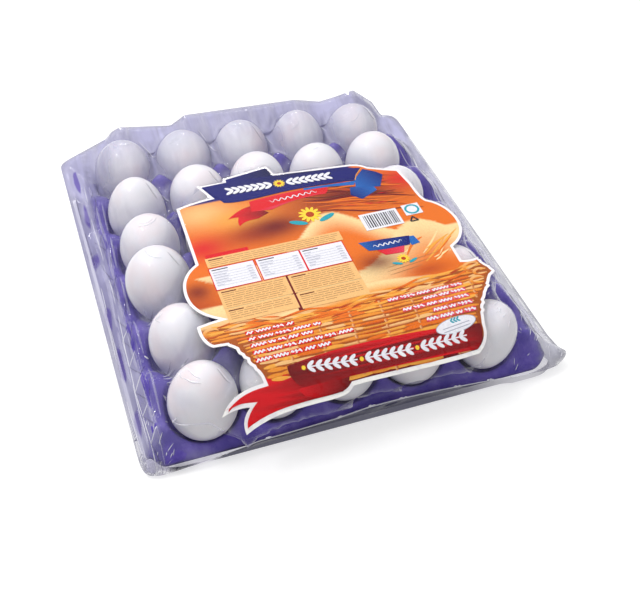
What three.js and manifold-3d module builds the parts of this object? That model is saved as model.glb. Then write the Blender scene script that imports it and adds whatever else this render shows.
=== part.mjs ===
// A tray of thirty eggs in shrink film, with a die-cut card label on the egg tops.
// Millimetres, +Z up, front of the pack towards -Y. The tray stands on the flat
// undersides of its thirty cups at z = 0.

import * as THREE from 'three';
import Module from 'manifold-3d';

const wasm = await Module();
wasm.setup();

// Driving dimensions: egg cells
const COLUMNS = 5;
const ROWS = 6;
const PITCH = 48;              // centre to centre of the cells, both ways
const EGG_RADIUS = 21.8;
const EGG_HALF_LENGTH = 29;
const EGG_CENTRE_Z = 37;

// Driving dimensions: moulded tray
const PULP = 2.6;              // wall, measured straight down
const TRAY_HALF_X = 136;
const TRAY_HALF_Y = 144;
const TRAY_CORNER = 18;        // radius of the corners seen from above
const TRAY_STEP = 8;           // side of one facet square
const SADDLE_Z = 26;           // wall top between two neighbouring cups
const POST_Z = 47;             // top of a post between four cups
const RIM_Z = 9.5;             // outer edge of the sloping flange
const FLANGE_SLOPE_X = 2.15;   // rise of the side flanges towards the cups
const FLANGE_SLOPE_Y = 1.25;   // rise of the end flanges
const CUP_FLAT = 0.15;         // share of the lattice wave that is flat cup bottom
const EGG_CLEARANCE = 1.8;     // pulp to shell

// Driving dimensions: label
const CARD = 0.4;
const LABEL_Z = 66.5;          // underside of the flat part
const LABEL_BEND_Y = -112;     // where the front part starts to droop
const LABEL_BEND_RADIUS = 60;
const LABEL_BEND_ANGLE = THREE.MathUtils.degToRad(42);

// Driving dimensions: film, as distances out from the middle and heights
const FILM = 0.5;
const FILM_TOP_Z = 67.9;       // taut sheet over the egg tops and the label
const FILM_OVER_EGG = 3.2;     // air between a proud egg and the sheet tented over it
const FILM_GRID = { left: -104, right: 115, front: -118, back: 128, stepsX: 13, stepsY: 15 };
const FILM_CORNER_STEPS = 4;
const FILM_CORNER_POWER = 0.55;   // below 1 the corners are squarer than a circle
const FILM_HEM_Z = 1.6;        // lower edge, all round
const FILM_SIDES = {           // each side's fold runs from its front place to its back one
  left: { hem: 137.5, fold: [141, 141], foldZ: [6, 34], shoulder: 121.5, brow: 113 },
  right: { hem: 143, fold: [157, 147], foldZ: [7, 26], shoulder: 126, brow: 121 },
};
const FILM_SIDE_BULGE = { out: 1.5, z: 2 };   // halfway from the fold to the shoulder
const FILM_SHOULDER_Z = 51;
const FILM_SIDE_BROW_Z = 61;
const FILM_FRONT_HEM = 144.6;
const FILM_FRONT_CREASE = { out: 146, endZ: 8, middleZ: 11.5 };
const FILM_FRONT_BARE = [{ out: 147.5, z: 27 }, { out: 147, z: 45 }, { out: 141, z: 59 }];
const FILM_FRONT_LABEL = [{ out: 152, z: 27 }, { out: 163.5, z: 44 }, { out: 142, z: 62.8 }];
const FILM_LABEL_SPAN = { left: -114, right: 122, ease: 18 };   // where the front clears the label
const FILM_BACK = { hem: 146.5, fold: 148.5, foldZ: 12, wall: 149.5, top: 149, brow: 140 };
const FILM_BACK_TOP_Z = { end: 40, middle: 59 };
const FILM_BACK_BROW_Z = { end: 52, middle: 65 };
const FILM_BACK_RIPPLES = [{ height: 2.5, length: 17 }, { height: 1.5, length: 7.3 }];
const FILM_BACK_EASE = { reach: 145, width: 45 };   // how the back wall runs down to the corners

// Park-Miller draw, so every run gives the same thirty eggs
const SEED = 20231;
let drawState = SEED;
function draw(low, high) {
  drawState = (drawState * 16807) % 2147483647;
  return low + (high - low) * (drawState / 2147483647);
}

// Eggs that sit differently from the rest, by column and row from the front left:
// dx, dy, dz move the centre, grow adds to both half sizes, leanX and leanY tip the top.
const ODD_EGGS = {
  '1_1': { dx: 1, dy: -1.5, dz: -2, grow: 0.8, leanX: 3, leanY: -4 },
  '2_1': { dx: 0, dy: -1, dz: -1.5, grow: 0, leanX: -1, leanY: -3 },
  '3_1': { dx: -1, dy: -1, dz: -1.5, grow: 0, leanX: -2, leanY: -3 },
  '4_1': { dx: -1, dy: -1, dz: -2, grow: 0, leanX: -1, leanY: -4 },
  '5_1': { dx: 4, dy: -5, dz: -4, grow: -1.8, leanX: 4, leanY: -6 },
  '5_2': { dx: 2, dy: 0, dz: -0.5, grow: 0, leanX: 4, leanY: 0 },
  '1_3': { dx: -3, dy: 4, dz: 7, grow: 0.6, leanX: -5, leanY: 5 },
  '1_4': { dx: 0, dy: 2, dz: -0.5, grow: -0.1, leanX: 0, leanY: 3 },
  '3_5': { dx: 0, dy: 1.5, dz: 0, grow: 0.2, leanX: 0, leanY: 3 },
  '5_6': { dx: 0, dy: -1.5, dz: -2.5, grow: -0.2, leanX: 2, leanY: -3 },
};

const pulpMaterial = new THREE.MeshStandardMaterial({ color: 0x5b4ba0, roughness: 0.9, metalness: 0 });
const shellMaterial = new THREE.MeshStandardMaterial({ color: 0xe8e8ea, roughness: 0.5, metalness: 0 });
const cardMaterial = new THREE.MeshStandardMaterial({ color: 0xe07a2a, roughness: 0.4, metalness: 0 });
const filmMaterial = new THREE.MeshStandardMaterial({
  color: 0xdfe0f4, roughness: 0.08, metalness: 0, transparent: true, opacity: 0.25,
});

const smooth = (t) => THREE.MathUtils.smoothstep(t, 0, 1);
const { clamp, lerp, degToRad } = THREE.MathUtils;

// Eggs

function makeEggs() {
  const eggs = [];
  for (let row = 1; row <= ROWS; row += 1) {
    for (let column = 1; column <= COLUMNS; column += 1) {
      const odd = ODD_EGGS[`${column}_${row}`] ?? { dx: 0, dy: 0, dz: 0, grow: 0, leanX: 0, leanY: 0 };
      const radius = EGG_RADIUS + odd.grow + draw(-0.35, 0.2);
      const halfLength = EGG_HALF_LENGTH + odd.grow + draw(-0.7, 0.2);
      const taper = draw(0.03, 0.1) * (draw(0, 1) < 0.7 ? 1 : -1);
      const leanX = degToRad(odd.leanX + draw(-2, 2));
      const leanY = degToRad(odd.leanY + draw(-2, 2));
      const centre = new THREE.Vector3(
        (column - (COLUMNS + 1) / 2) * PITCH + odd.dx + draw(-0.5, 0.5),
        (row - (ROWS + 1) / 2) * PITCH + odd.dy + draw(-0.5, 0.5),
        EGG_CENTRE_Z + odd.dz + draw(-0.6, 0),
      );
      const turn = new THREE.Quaternion().setFromEuler(new THREE.Euler(-leanY, leanX, 0));
      eggs.push({ column, row, radius, halfLength, taper, centre, turn });
    }
  }
  return eggs;
}

// Blunt at one end: the radius at each height shrinks towards the pointed end.
function eggGeometry(egg, segments = 12, rings = 7) {
  const profile = [];
  for (let ring = 0; ring <= rings; ring += 1) {
    const angle = Math.PI * (ring / rings - 0.5);
    const onAxis = ring === 0 || ring === rings;
    const radius = onAxis ? 0 : egg.radius * Math.cos(angle) * (1 + egg.taper * Math.sin(angle));
    profile.push(new THREE.Vector2(radius, egg.halfLength * Math.sin(angle)));
  }
  return new THREE.LatheGeometry(profile, segments).rotateX(Math.PI / 2);
}

// Lowest and highest z of an egg grown by a margin above the point (x, y), or null beside it.
function eggSpan(egg, x, y, margin) {
  const back = egg.turn.clone().invert();
  const foot = new THREE.Vector3(x - egg.centre.x, y - egg.centre.y, 0).applyQuaternion(back);
  const rise = new THREE.Vector3(0, 0, 1).applyQuaternion(back);
  const wide = (egg.radius * (1 + 0.6 * Math.abs(egg.taper)) + margin) ** 2;
  const long = (egg.halfLength + margin) ** 2;
  const a = (rise.x ** 2 + rise.y ** 2) / wide + rise.z ** 2 / long;
  const b = (foot.x * rise.x + foot.y * rise.y) / wide + (foot.z * rise.z) / long;
  const c = (foot.x ** 2 + foot.y ** 2) / wide + foot.z ** 2 / long - 1;
  const inside = b * b - a * c;
  if (inside <= 0) return null;
  const root = Math.sqrt(inside);
  return { low: egg.centre.z + (-b - root) / a, high: egg.centre.z + (-b + root) / a };
}

// Tray

// 0 over a cup's centre, 0.5 on a saddle between two cups and 1 on a post between four.
function latticeWave(x, y) {
  const nearX = clamp(x, -COLUMNS * PITCH / 2, COLUMNS * PITCH / 2);
  const nearY = clamp(y, -ROWS * PITCH / 2, ROWS * PITCH / 2);
  const waveX = Math.cos((2 * Math.PI * nearX) / PITCH);
  const waveY = -Math.cos((2 * Math.PI * nearY) / PITCH);
  return (2 - waveX - waveY) / 4;
}

function latticeHeight(wave) {
  if (wave < CUP_FLAT) return PULP;
  if (wave < 0.5) return lerp(PULP, SADDLE_Z, (wave - CUP_FLAT) / (0.5 - CUP_FLAT));
  return lerp(SADDLE_Z, POST_Z, (wave - 0.5) / 0.5);
}

// Upper face of the pulp: the cup lattice under the sloping flanges, pressed clear of each egg.
function trayHeight(x, y, eggs) {
  let height = latticeHeight(latticeWave(x, y));
  height = Math.min(height, RIM_Z + (TRAY_HALF_X - Math.abs(x)) * FLANGE_SLOPE_X);
  height = Math.min(height, RIM_Z + (TRAY_HALF_Y - Math.abs(y)) * FLANGE_SLOPE_Y);
  for (const egg of eggs) {
    const away = Math.hypot(x - egg.centre.x, y - egg.centre.y);
    if (away > PITCH) continue;
    const span = eggSpan(egg, x, y, EGG_CLEARANCE);
    if (span) height = Math.min(height, span.low);
    const shoulder = egg.centre.z - 12 + 2.5 * (away - 21);
    if (away > 21) height = Math.min(height, shoulder);
  }
  return Math.max(height, PULP);
}

// Pulls a grid point near a corner onto the corner's arc.
function roundCorner(x, y) {
  const insetX = Math.abs(x) - (TRAY_HALF_X - TRAY_CORNER);
  const insetY = Math.abs(y) - (TRAY_HALF_Y - TRAY_CORNER);
  if (insetX <= 0 || insetY <= 0) return { x, y };
  const reach = Math.max(insetX, insetY) / Math.hypot(insetX, insetY);
  return {
    x: Math.sign(x) * (TRAY_HALF_X - TRAY_CORNER + insetX * reach),
    y: Math.sign(y) * (TRAY_HALF_Y - TRAY_CORNER + insetY * reach),
  };
}

// A closed slab from two matching sheets: loops of equal length and a shared triangle list.
function closeSheets(upper, lower, triangles, border) {
  const positions = [...upper, ...lower].flatMap((point) => [point.x, point.y, point.z]);
  const index = [];
  for (const [a, b, c] of triangles) {
    index.push(a, b, c);
    index.push(a + upper.length, c + upper.length, b + upper.length);
  }
  border.forEach((a, place) => {
    const b = border[(place + 1) % border.length];
    index.push(b, a, a + upper.length);
    index.push(b, a + upper.length, b + upper.length);
  });
  const geometry = new THREE.BufferGeometry();
  geometry.setAttribute('position', new THREE.Float32BufferAttribute(positions, 3));
  geometry.setIndex(index);
  geometry.computeVertexNormals();
  return geometry;
}

// Triangles of a grid with its diagonals turned alternately, so both ways look alike. They meet
// at the grid points whose two counts add up to an even number, or with odd to an odd one.
function gridTriangles(countX, countY, odd = 0) {
  const triangles = [];
  for (let j = 0; j < countY; j += 1) {
    for (let i = 0; i < countX; i += 1) {
      const a = j * (countX + 1) + i;
      const b = a + 1;
      const c = b + countX + 1;
      const d = a + countX + 1;
      if ((i + j) % 2 === odd) triangles.push([a, b, c], [a, c, d]);
      else triangles.push([a, b, d], [b, c, d]);
    }
  }
  return triangles;
}

// Indices of a grid's rim, anticlockwise seen from above, starting at the front left.
function gridBorder(countX, countY) {
  const at = (i, j) => j * (countX + 1) + i;
  const border = [];
  for (let i = 0; i < countX; i += 1) border.push(at(i, 0));
  for (let j = 0; j < countY; j += 1) border.push(at(countX, j));
  for (let i = countX; i > 0; i -= 1) border.push(at(i, countY));
  for (let j = countY; j > 0; j -= 1) border.push(at(0, j));
  return border;
}

function trayGeometry(eggs) {
  const countX = (2 * TRAY_HALF_X) / TRAY_STEP;
  const countY = (2 * TRAY_HALF_Y) / TRAY_STEP;
  const upper = [];
  for (let j = 0; j <= countY; j += 1) {
    for (let i = 0; i <= countX; i += 1) {
      const { x, y } = roundCorner(-TRAY_HALF_X + i * TRAY_STEP, -TRAY_HALF_Y + j * TRAY_STEP);
      upper.push(new THREE.Vector3(x, y, trayHeight(x, y, eggs)));
    }
  }
  const lower = upper.map((point) => new THREE.Vector3(point.x, point.y, point.z - PULP));
  // The diagonals go round each cup's centre, which leaves it a flat diamond to stand on
  const triangles = gridTriangles(countX, countY, 1);
  return closeSheets(upper, lower, triangles, gridBorder(countX, countY));
}

// Label

// Die-cut outline seen from above: a slanted banner at the back, a ribbon at the front.
function labelOutline() {
  const outline = new THREE.Shape();
  outline.moveTo(-84, -112);
  outline.bezierCurveTo(-96, -104, -96, -96, -88, -88);
  outline.lineTo(-74, -86);
  outline.bezierCurveTo(-93, -74, -97, -46, -77, -34);
  outline.lineTo(-74, 28);
  outline.lineTo(-50, 33);
  outline.lineTo(-60, 47);
  outline.lineTo(-6, 57);
  outline.lineTo(0, 49);
  outline.lineTo(66, 42);
  outline.lineTo(72, 36);
  outline.lineTo(93, 24);
  outline.lineTo(97, -18);
  outline.bezierCurveTo(119, -28, 122, -58, 98, -70);
  outline.lineTo(97, -82);
  outline.bezierCurveTo(111, -83, 115, -98, 103, -108);
  outline.lineTo(91, -140);
  outline.lineTo(80, -152);
  outline.lineTo(-12, -153);
  outline.lineTo(-20, -158);
  outline.lineTo(-62, -157);
  outline.lineTo(-82, -161);
  outline.lineTo(-76, -153);
  outline.lineTo(-91, -150);
  outline.lineTo(-72, -140);
  outline.lineTo(-66, -128);
  outline.closePath();
  return outline;
}

// Section of the card along the pack: flat on the egg tops, then bent down over the front row.
function labelSection() {
  const bend = { steps: 6, straight: 26, back: 70 };
  const underside = [new THREE.Vector2(bend.back, LABEL_Z)];
  for (let step = 0; step <= bend.steps; step += 1) {
    const angle = (LABEL_BEND_ANGLE * step) / bend.steps;
    underside.push(new THREE.Vector2(
      LABEL_BEND_Y - LABEL_BEND_RADIUS * Math.sin(angle),
      LABEL_Z - LABEL_BEND_RADIUS * (1 - Math.cos(angle)),
    ));
  }
  const end = underside.at(-1);
  underside.push(new THREE.Vector2(
    end.x - bend.straight * Math.cos(LABEL_BEND_ANGLE),
    end.y - bend.straight * Math.sin(LABEL_BEND_ANGLE),
  ));
  const upper = underside.map((point) => new THREE.Vector2(point.x, point.y + CARD));
  return new THREE.Shape([...underside, ...upper.reverse()]);
}

// A manifold solid from a geometry, its vertices merged where they share a place.
const asManifold = (geometry) => {
  const position = geometry.getAttribute('position');
  const found = new Map();
  const vertices = [];
  const order = [];
  const corners = geometry.index ? [...geometry.index.array] : [...Array(position.count).keys()];
  for (const corner of corners) {
    const point = [position.getX(corner), position.getY(corner), position.getZ(corner)];
    const key = point.map((value) => value.toFixed(4)).join();
    if (!found.has(key)) {
      found.set(key, vertices.length / 3);
      vertices.push(...point);
    }
    order.push(found.get(key));
  }
  const triVerts = [];
  for (let at = 0; at < order.length; at += 3) {
    const [a, b, c] = order.slice(at, at + 3);
    if (a !== b && b !== c && a !== c) triVerts.push(a, b, c);
  }
  return new wasm.Manifold(new wasm.Mesh({
    numProp: 3,
    vertProperties: new Float32Array(vertices),
    triVerts: new Uint32Array(triVerts),
  }));
};

function asGeometry(manifold) {
  const mesh = manifold.getMesh();
  const geometry = new THREE.BufferGeometry();
  geometry.setAttribute('position', new THREE.BufferAttribute(new Float32Array(mesh.vertProperties), 3));
  geometry.setIndex([...mesh.triVerts]);
  geometry.computeVertexNormals();
  return geometry;
}

// The bent card is cut to its outline by an upright prism.
function labelGeometry() {
  const width = 260;
  const card = new THREE.ExtrudeGeometry(labelSection(), { depth: width, bevelEnabled: false });
  card.rotateX(Math.PI / 2).rotateZ(Math.PI / 2).translate(-width / 2, 0, 0);
  const upright = { depth: 100, bevelEnabled: false, curveSegments: 6 };
  const prism = new THREE.ExtrudeGeometry(labelOutline(), upright);
  return asGeometry(asManifold(card).intersect(asManifold(prism)));
}

// Film

// Lifts a height of the sheet clear of every egg under the point (x, y).
function overEggs(x, y, height, eggs) {
  let lifted = height;
  for (const egg of eggs) {
    const span = eggSpan(egg, x, y, FILM_OVER_EGG);
    if (span) lifted = Math.max(lifted, span.high);
  }
  return lifted;
}

// Sections of the film, from its lower edge up to the sheet, as distance from the middle and height.
// The fold along each side climbs from the front to the back.
function sideSection(side, y) {
  const backward = clamp((y - FILM_GRID.front) / (FILM_GRID.back - FILM_GRID.front), 0, 1);
  const wall = FILM_SIDES[side];
  const fold = lerp(...wall.fold, backward);
  const foldZ = lerp(...wall.foldZ, backward);
  return [
    { out: wall.hem, z: FILM_HEM_Z },
    { out: fold, z: foldZ },
    {
      out: (fold + wall.shoulder) / 2 + FILM_SIDE_BULGE.out,
      z: (foldZ + FILM_SHOULDER_Z) / 2 + FILM_SIDE_BULGE.z,
    },
    { out: wall.shoulder, z: FILM_SHOULDER_Z },
    { out: wall.brow, z: FILM_SIDE_BROW_Z },
  ];
}

function frontSection(x) {
  const { left, right, ease } = FILM_LABEL_SPAN;
  const label = smooth((x - left) / ease) * smooth((right - x) / ease);
  const middle = Math.cos((Math.PI / 2) * clamp(x / 100, -1, 1));
  return [
    { out: FILM_FRONT_HEM, z: FILM_HEM_Z },
    { out: FILM_FRONT_CREASE.out, z: lerp(FILM_FRONT_CREASE.endZ, FILM_FRONT_CREASE.middleZ, middle) },
    ...FILM_FRONT_BARE.map((bare, at) => ({
      out: lerp(bare.out, FILM_FRONT_LABEL[at].out, label),
      z: lerp(bare.z, FILM_FRONT_LABEL[at].z, label),
    })),
  ];
}

function backSection(x) {
  const inward = smooth((FILM_BACK_EASE.reach - Math.abs(x)) / FILM_BACK_EASE.width);
  const ripple = FILM_BACK_RIPPLES.reduce((sum, wave) => sum + wave.height * Math.sin(x / wave.length), 0);
  const top = lerp(FILM_BACK_TOP_Z.end, FILM_BACK_TOP_Z.middle, inward) + ripple * inward;
  return [
    { out: FILM_BACK.hem, z: FILM_HEM_Z },
    { out: FILM_BACK.fold, z: FILM_BACK.foldZ },
    { out: FILM_BACK.wall, z: (FILM_BACK.foldZ + top) / 2 },
    { out: FILM_BACK.top, z: top },
    { out: FILM_BACK.brow, z: lerp(FILM_BACK_BROW_Z.end, FILM_BACK_BROW_Z.middle, inward) },
  ];
}

// One point of the film outside the sheet: ring 0 is the lower edge.
function filmPoint(ring, place, eggs) {
  const grid = FILM_GRID;
  const side = sideSection(place.side, place.y)[ring];
  const end = (place.end === 'front' ? frontSection : backSection)(place.x)[ring];
  const across = place.side === 'left' ? -1 : 1;
  const along = place.end === 'front' ? -1 : 1;
  const cornerX = place.side === 'left' ? grid.left : grid.right;
  const cornerY = place.end === 'front' ? grid.front : grid.back;
  const turn = place.turn * Math.PI / 2;
  const x = cornerX + (across * side.out - cornerX) * Math.cos(turn) ** FILM_CORNER_POWER;
  const y = cornerY + (along * end.out - cornerY) * Math.sin(turn) ** FILM_CORNER_POWER;
  const point = new THREE.Vector3(x, y, lerp(side.z, end.z, place.turn));
  if (place.turn === 0) point.y = place.y;
  if (place.turn === 1) point.x = place.x;
  if (ring > 1) point.z = overEggs(point.x, point.y, point.z, eggs);
  return point;
}

// Where each vertex of a ring belongs, anticlockwise from the front left corner of the sheet.
// turn is 0 along the sides, 1 along the front and the back, and between them round a corner.
function filmPlaces() {
  const { left, right, front, back, stepsX, stepsY } = FILM_GRID;
  const at = (i, j) => j * (stepsX + 1) + i;
  const gridX = (i) => lerp(left, right, i / stepsX);
  const gridY = (j) => lerp(front, back, j / stepsY);
  const places = [];
  const corner = (side, end, i, j, opening) => {
    for (let step = 0; step <= FILM_CORNER_STEPS; step += 1) {
      const share = step / FILM_CORNER_STEPS;
      const turn = opening ? share : 1 - share;
      places.push({ side, end, x: gridX(i), y: gridY(j), turn, inner: at(i, j) });
    }
  };
  corner('left', 'front', 0, 0, true);
  for (let i = 1; i < stepsX; i += 1) {
    places.push({ side: 'left', end: 'front', x: gridX(i), y: front, turn: 1, inner: at(i, 0) });
  }
  corner('right', 'front', stepsX, 0, false);
  for (let j = 1; j < stepsY; j += 1) {
    places.push({ side: 'right', end: 'front', x: right, y: gridY(j), turn: 0, inner: at(stepsX, j) });
  }
  corner('right', 'back', stepsX, stepsY, true);
  for (let i = stepsX - 1; i > 0; i -= 1) {
    places.push({ side: 'right', end: 'back', x: gridX(i), y: back, turn: 1, inner: at(i, stepsY) });
  }
  corner('left', 'back', 0, stepsY, false);
  for (let j = stepsY - 1; j > 0; j -= 1) {
    places.push({ side: 'left', end: 'front', x: left, y: gridY(j), turn: 0, inner: at(0, j) });
  }
  return places;
}

function filmGeometry(eggs) {
  const { left, right, front, back, stepsX, stepsY } = FILM_GRID;
  const outer = [];
  for (let j = 0; j <= stepsY; j += 1) {
    for (let i = 0; i <= stepsX; i += 1) {
      const x = lerp(left, right, i / stepsX);
      const y = lerp(front, back, j / stepsY);
      outer.push(new THREE.Vector3(x, y, overEggs(x, y, FILM_TOP_Z, eggs)));
    }
  }
  const triangles = gridTriangles(stepsX, stepsY);
  const places = filmPlaces();
  let inner = places.map((place) => place.inner);
  for (let ring = 4; ring >= 0; ring -= 1) {
    const first = outer.length;
    for (const place of places) outer.push(filmPoint(ring, place, eggs));
    const next = places.map((_, at) => first + at);
    for (let at = 0; at < places.length; at += 1) {
      const to = (at + 1) % places.length;
      if (inner[at] !== inner[to]) triangles.push([inner[at], next[to], inner[to]]);
      triangles.push([inner[at], next[at], next[to]]);
    }
    inner = next;
  }
  const sheet = new THREE.BufferGeometry().setFromPoints(outer);
  sheet.setIndex(triangles.flat());
  sheet.computeVertexNormals();
  const normal = sheet.getAttribute('normal');
  const lining = outer.map((point, at) => new THREE.Vector3(
    point.x - normal.getX(at) * FILM,
    point.y - normal.getY(at) * FILM,
    point.z - normal.getZ(at) * FILM,
  ));
  return closeSheets(outer, lining, triangles, inner);
}

// Assembly

function addMesh(parent, name, geometry, material) {
  const mesh = new THREE.Mesh(geometry, material);
  mesh.name = name;
  parent.add(mesh);
  return mesh;
}

// Moves the whole pack so that its origin is the middle of the bottom of its box.
function centreOnFloor(pack) {
  const box = new THREE.Box3().setFromObject(pack, true);
  const middle = box.getCenter(new THREE.Vector3());
  pack.position.set(-middle.x, -middle.y, -box.min.z);
}

const eggs = makeEggs();
const pack = new THREE.Group();
addMesh(pack, 'tray', trayGeometry(eggs), pulpMaterial);
for (const egg of eggs) {
  const mesh = addMesh(pack, `egg_${egg.column}_${egg.row}`, eggGeometry(egg), shellMaterial);
  mesh.position.copy(egg.centre);
  mesh.quaternion.copy(egg.turn);
}
addMesh(pack, 'label', labelGeometry(), cardMaterial);
addMesh(pack, 'film', filmGeometry(eggs), filmMaterial);
centreOnFloor(pack);

const group = new THREE.Group();
group.add(pack);
export default group;
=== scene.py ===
"""Dresses a tray of thirty eggs in shrink film: pulp, shells, printed card label and film.

Every shape is worked out in millimetres in the pack's own axes, whose origin is the middle of the
tray's foot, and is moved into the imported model's frame when its mesh is made.
"""
import logging
from dataclasses import dataclass, field
from enum import Enum
from math import atan2, cos, degrees, pi, radians, sin, tan
from typing import Any, Callable, Sequence

import bmesh
import bpy
import numpy as np
from bmesh.types import BMesh
from bpy.types import Light, Material, Node, NodeSocket, NodeTree, Object
from mathutils import Matrix, Vector
from mathutils.bvhtree import BVHTree
from mathutils.geometry import tessellate_polygon


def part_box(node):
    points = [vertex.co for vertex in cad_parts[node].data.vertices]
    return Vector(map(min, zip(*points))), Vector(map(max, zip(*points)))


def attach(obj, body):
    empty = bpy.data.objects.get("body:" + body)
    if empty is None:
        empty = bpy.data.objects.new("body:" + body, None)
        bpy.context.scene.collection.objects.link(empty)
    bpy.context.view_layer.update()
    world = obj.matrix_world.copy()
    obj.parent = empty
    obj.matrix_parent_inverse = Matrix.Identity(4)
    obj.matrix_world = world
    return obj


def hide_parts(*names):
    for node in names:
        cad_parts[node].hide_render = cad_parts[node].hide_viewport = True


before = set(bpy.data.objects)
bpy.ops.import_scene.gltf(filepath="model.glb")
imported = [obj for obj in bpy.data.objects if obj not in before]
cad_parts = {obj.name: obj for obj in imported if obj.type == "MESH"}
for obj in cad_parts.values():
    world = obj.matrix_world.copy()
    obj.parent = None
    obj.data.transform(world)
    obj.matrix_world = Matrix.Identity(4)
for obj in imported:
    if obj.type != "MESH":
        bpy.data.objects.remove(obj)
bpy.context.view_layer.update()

LOG = logging.getLogger("egg_pack")
MM = 0.001
BODY = "root"
Points = np.ndarray
Place = tuple[float, float]
Spot = tuple[float, float, float]
Line = Sequence[Place]
Tint = Callable[[Points, Points], Points]
Rows = tuple[tuple[Any, ...], ...]


class Slot(Enum):
    """The record's material slots."""

    PULP = "pulp"
    SHELL = "eggshell"
    CARD = "label_card"
    FILM = "clear_film"


# Small tools


def smooth(value: Points | float, low: float = 0.0, high: float = 1.0) -> Points | float:
    """Eases a number or an array from 0 at low to 1 at high."""
    share = np.clip((value - low) / (high - low), 0.0, 1.0)
    return share * share * (3.0 - 2.0 * share)


def soft_min(a: Points, b: Points, blend: float) -> Points:
    """The lower of two heights, rounded over a width where they cross."""
    near = np.clip(0.5 + 0.5 * (b - a) / blend, 0.0, 1.0)
    return b + (a - b) * near - blend * near * (1.0 - near)


def pack_origin() -> np.ndarray:
    """Middle of the tray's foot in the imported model's frame, in millimetres."""
    low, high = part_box("tray")
    return np.array([(low[0] + high[0]) / 2, (low[1] + high[1]) / 2, low[2]]) / MM


def make_object(name: str, points: Points, faces: Sequence[Sequence[int]],
                materials: Sequence[Material], slots: Sequence[int] | None = None,
                flat: bool = False) -> Object:
    """Makes a mesh object from points in the pack's axes.

    Args:
        name: the object's name.
        points: vertices in millimetres.
        faces: vertex indices of each face.
        materials: the materials the faces use.
        slots: material index of each face, or None for the first material.
        flat: keeps the faces flat shaded.

    Returns:
        The new object, linked to the scene.
    """
    mesh = bpy.data.meshes.new(name)
    corners = [list(map(int, face)) for face in faces]
    mesh.from_pydata((np.asarray(points) + pack_origin()) * MM, [], corners)
    for material in materials:
        mesh.materials.append(material)
    if slots is not None:
        mesh.polygons.foreach_set("material_index", list(slots))
    mesh.polygons.foreach_set("use_smooth", [not flat] * len(mesh.polygons))
    mesh.update()
    thing = bpy.data.objects.new(name, mesh)
    bpy.context.scene.collection.objects.link(thing)
    return thing


def settle(thing: Object, slot: Slot, *nodes: str) -> None:
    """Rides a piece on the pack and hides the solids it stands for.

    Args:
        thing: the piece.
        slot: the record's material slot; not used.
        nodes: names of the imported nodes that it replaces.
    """
    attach(thing, BODY)
    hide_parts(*nodes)
    LOG.info("%s: %d faces for %s", thing.name, len(thing.data.polygons), ", ".join(nodes))


def grid_faces(columns: int, rows: int, first: int = 0, flip: bool = False) -> list[tuple[int, ...]]:
    """Quads of a grid of vertices stored row by row.

    Args:
        columns, rows: number of quads each way.
        first: index of the first vertex.
        flip: turns the faces over.

    Returns:
        The quads.
    """
    faces = []
    for j in range(rows):
        for i in range(columns):
            a = first + j * (columns + 1) + i
            quad = (a, a + 1, a + columns + 2, a + columns + 1)
            faces.append(quad[::-1] if flip else quad)
    return faces


# Colours and nodes


def linear(colour: str) -> tuple[float, float, float, float]:
    """Turns an sRGB hex colour into the linear values that nodes take.

    Args:
        colour: six hex digits, with or without a leading #.

    Returns:
        Red, green, blue and an alpha of 1.
    """
    parts = [int(colour.lstrip("#")[at:at + 2], 16) / 255 for at in (0, 2, 4)]
    parts = [part / 12.92 if part <= 0.04045 else ((part + 0.055) / 1.055) ** 2.4 for part in parts]
    return (*parts, 1.0)


def add_node(tree: NodeTree, kind: str, inputs: dict[Any, Any] | None = None,
             **settings: Any) -> Node:
    """Adds a node with its settings and links.

    Args:
        tree: the node tree.
        kind: the node's type name without the leading ShaderNode.
        inputs: socket name or number to a value or to the output socket that feeds it.
        settings: the node's own settings.

    Returns:
        The new node.
    """
    node = tree.nodes.new("ShaderNode" + kind)
    for name, value in settings.items():
        setattr(node, name, value)
    for name, value in (inputs or {}).items():
        if isinstance(value, NodeSocket):
            tree.links.new(value, node.inputs[name])
        else:
            node.inputs[name].default_value = value
    return node


def ramp(tree: NodeTree, factor: NodeSocket,
         stops: Sequence[tuple[float, str]], ease: str = "LINEAR") -> NodeSocket:
    """A colour ramp from sRGB hex colours.

    Args:
        tree: the node tree.
        factor: what drives the ramp.
        stops: place and colour of each stop.
        ease: how the ramp blends.

    Returns:
        The colour socket.
    """
    node = add_node(tree, "ValToRGB", {"Fac": factor})
    node.color_ramp.interpolation = ease
    for at, (place, colour) in enumerate(stops):
        stop = node.color_ramp.elements[at] if at < 2 else node.color_ramp.elements.new(place)
        stop.position = place
        stop.color = linear(colour)
    return node.outputs["Color"]


def new_material(name: str) -> tuple[Material, NodeTree, Node]:
    """An empty material with its output node.

    Args:
        name: the material's name.

    Returns:
        The material, its tree and the output node.
    """
    material = bpy.data.materials.new(name)
    material.use_nodes = True
    material.node_tree.nodes.clear()
    output = add_node(material.node_tree, "OutputMaterial")
    return material, material.node_tree, output


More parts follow.
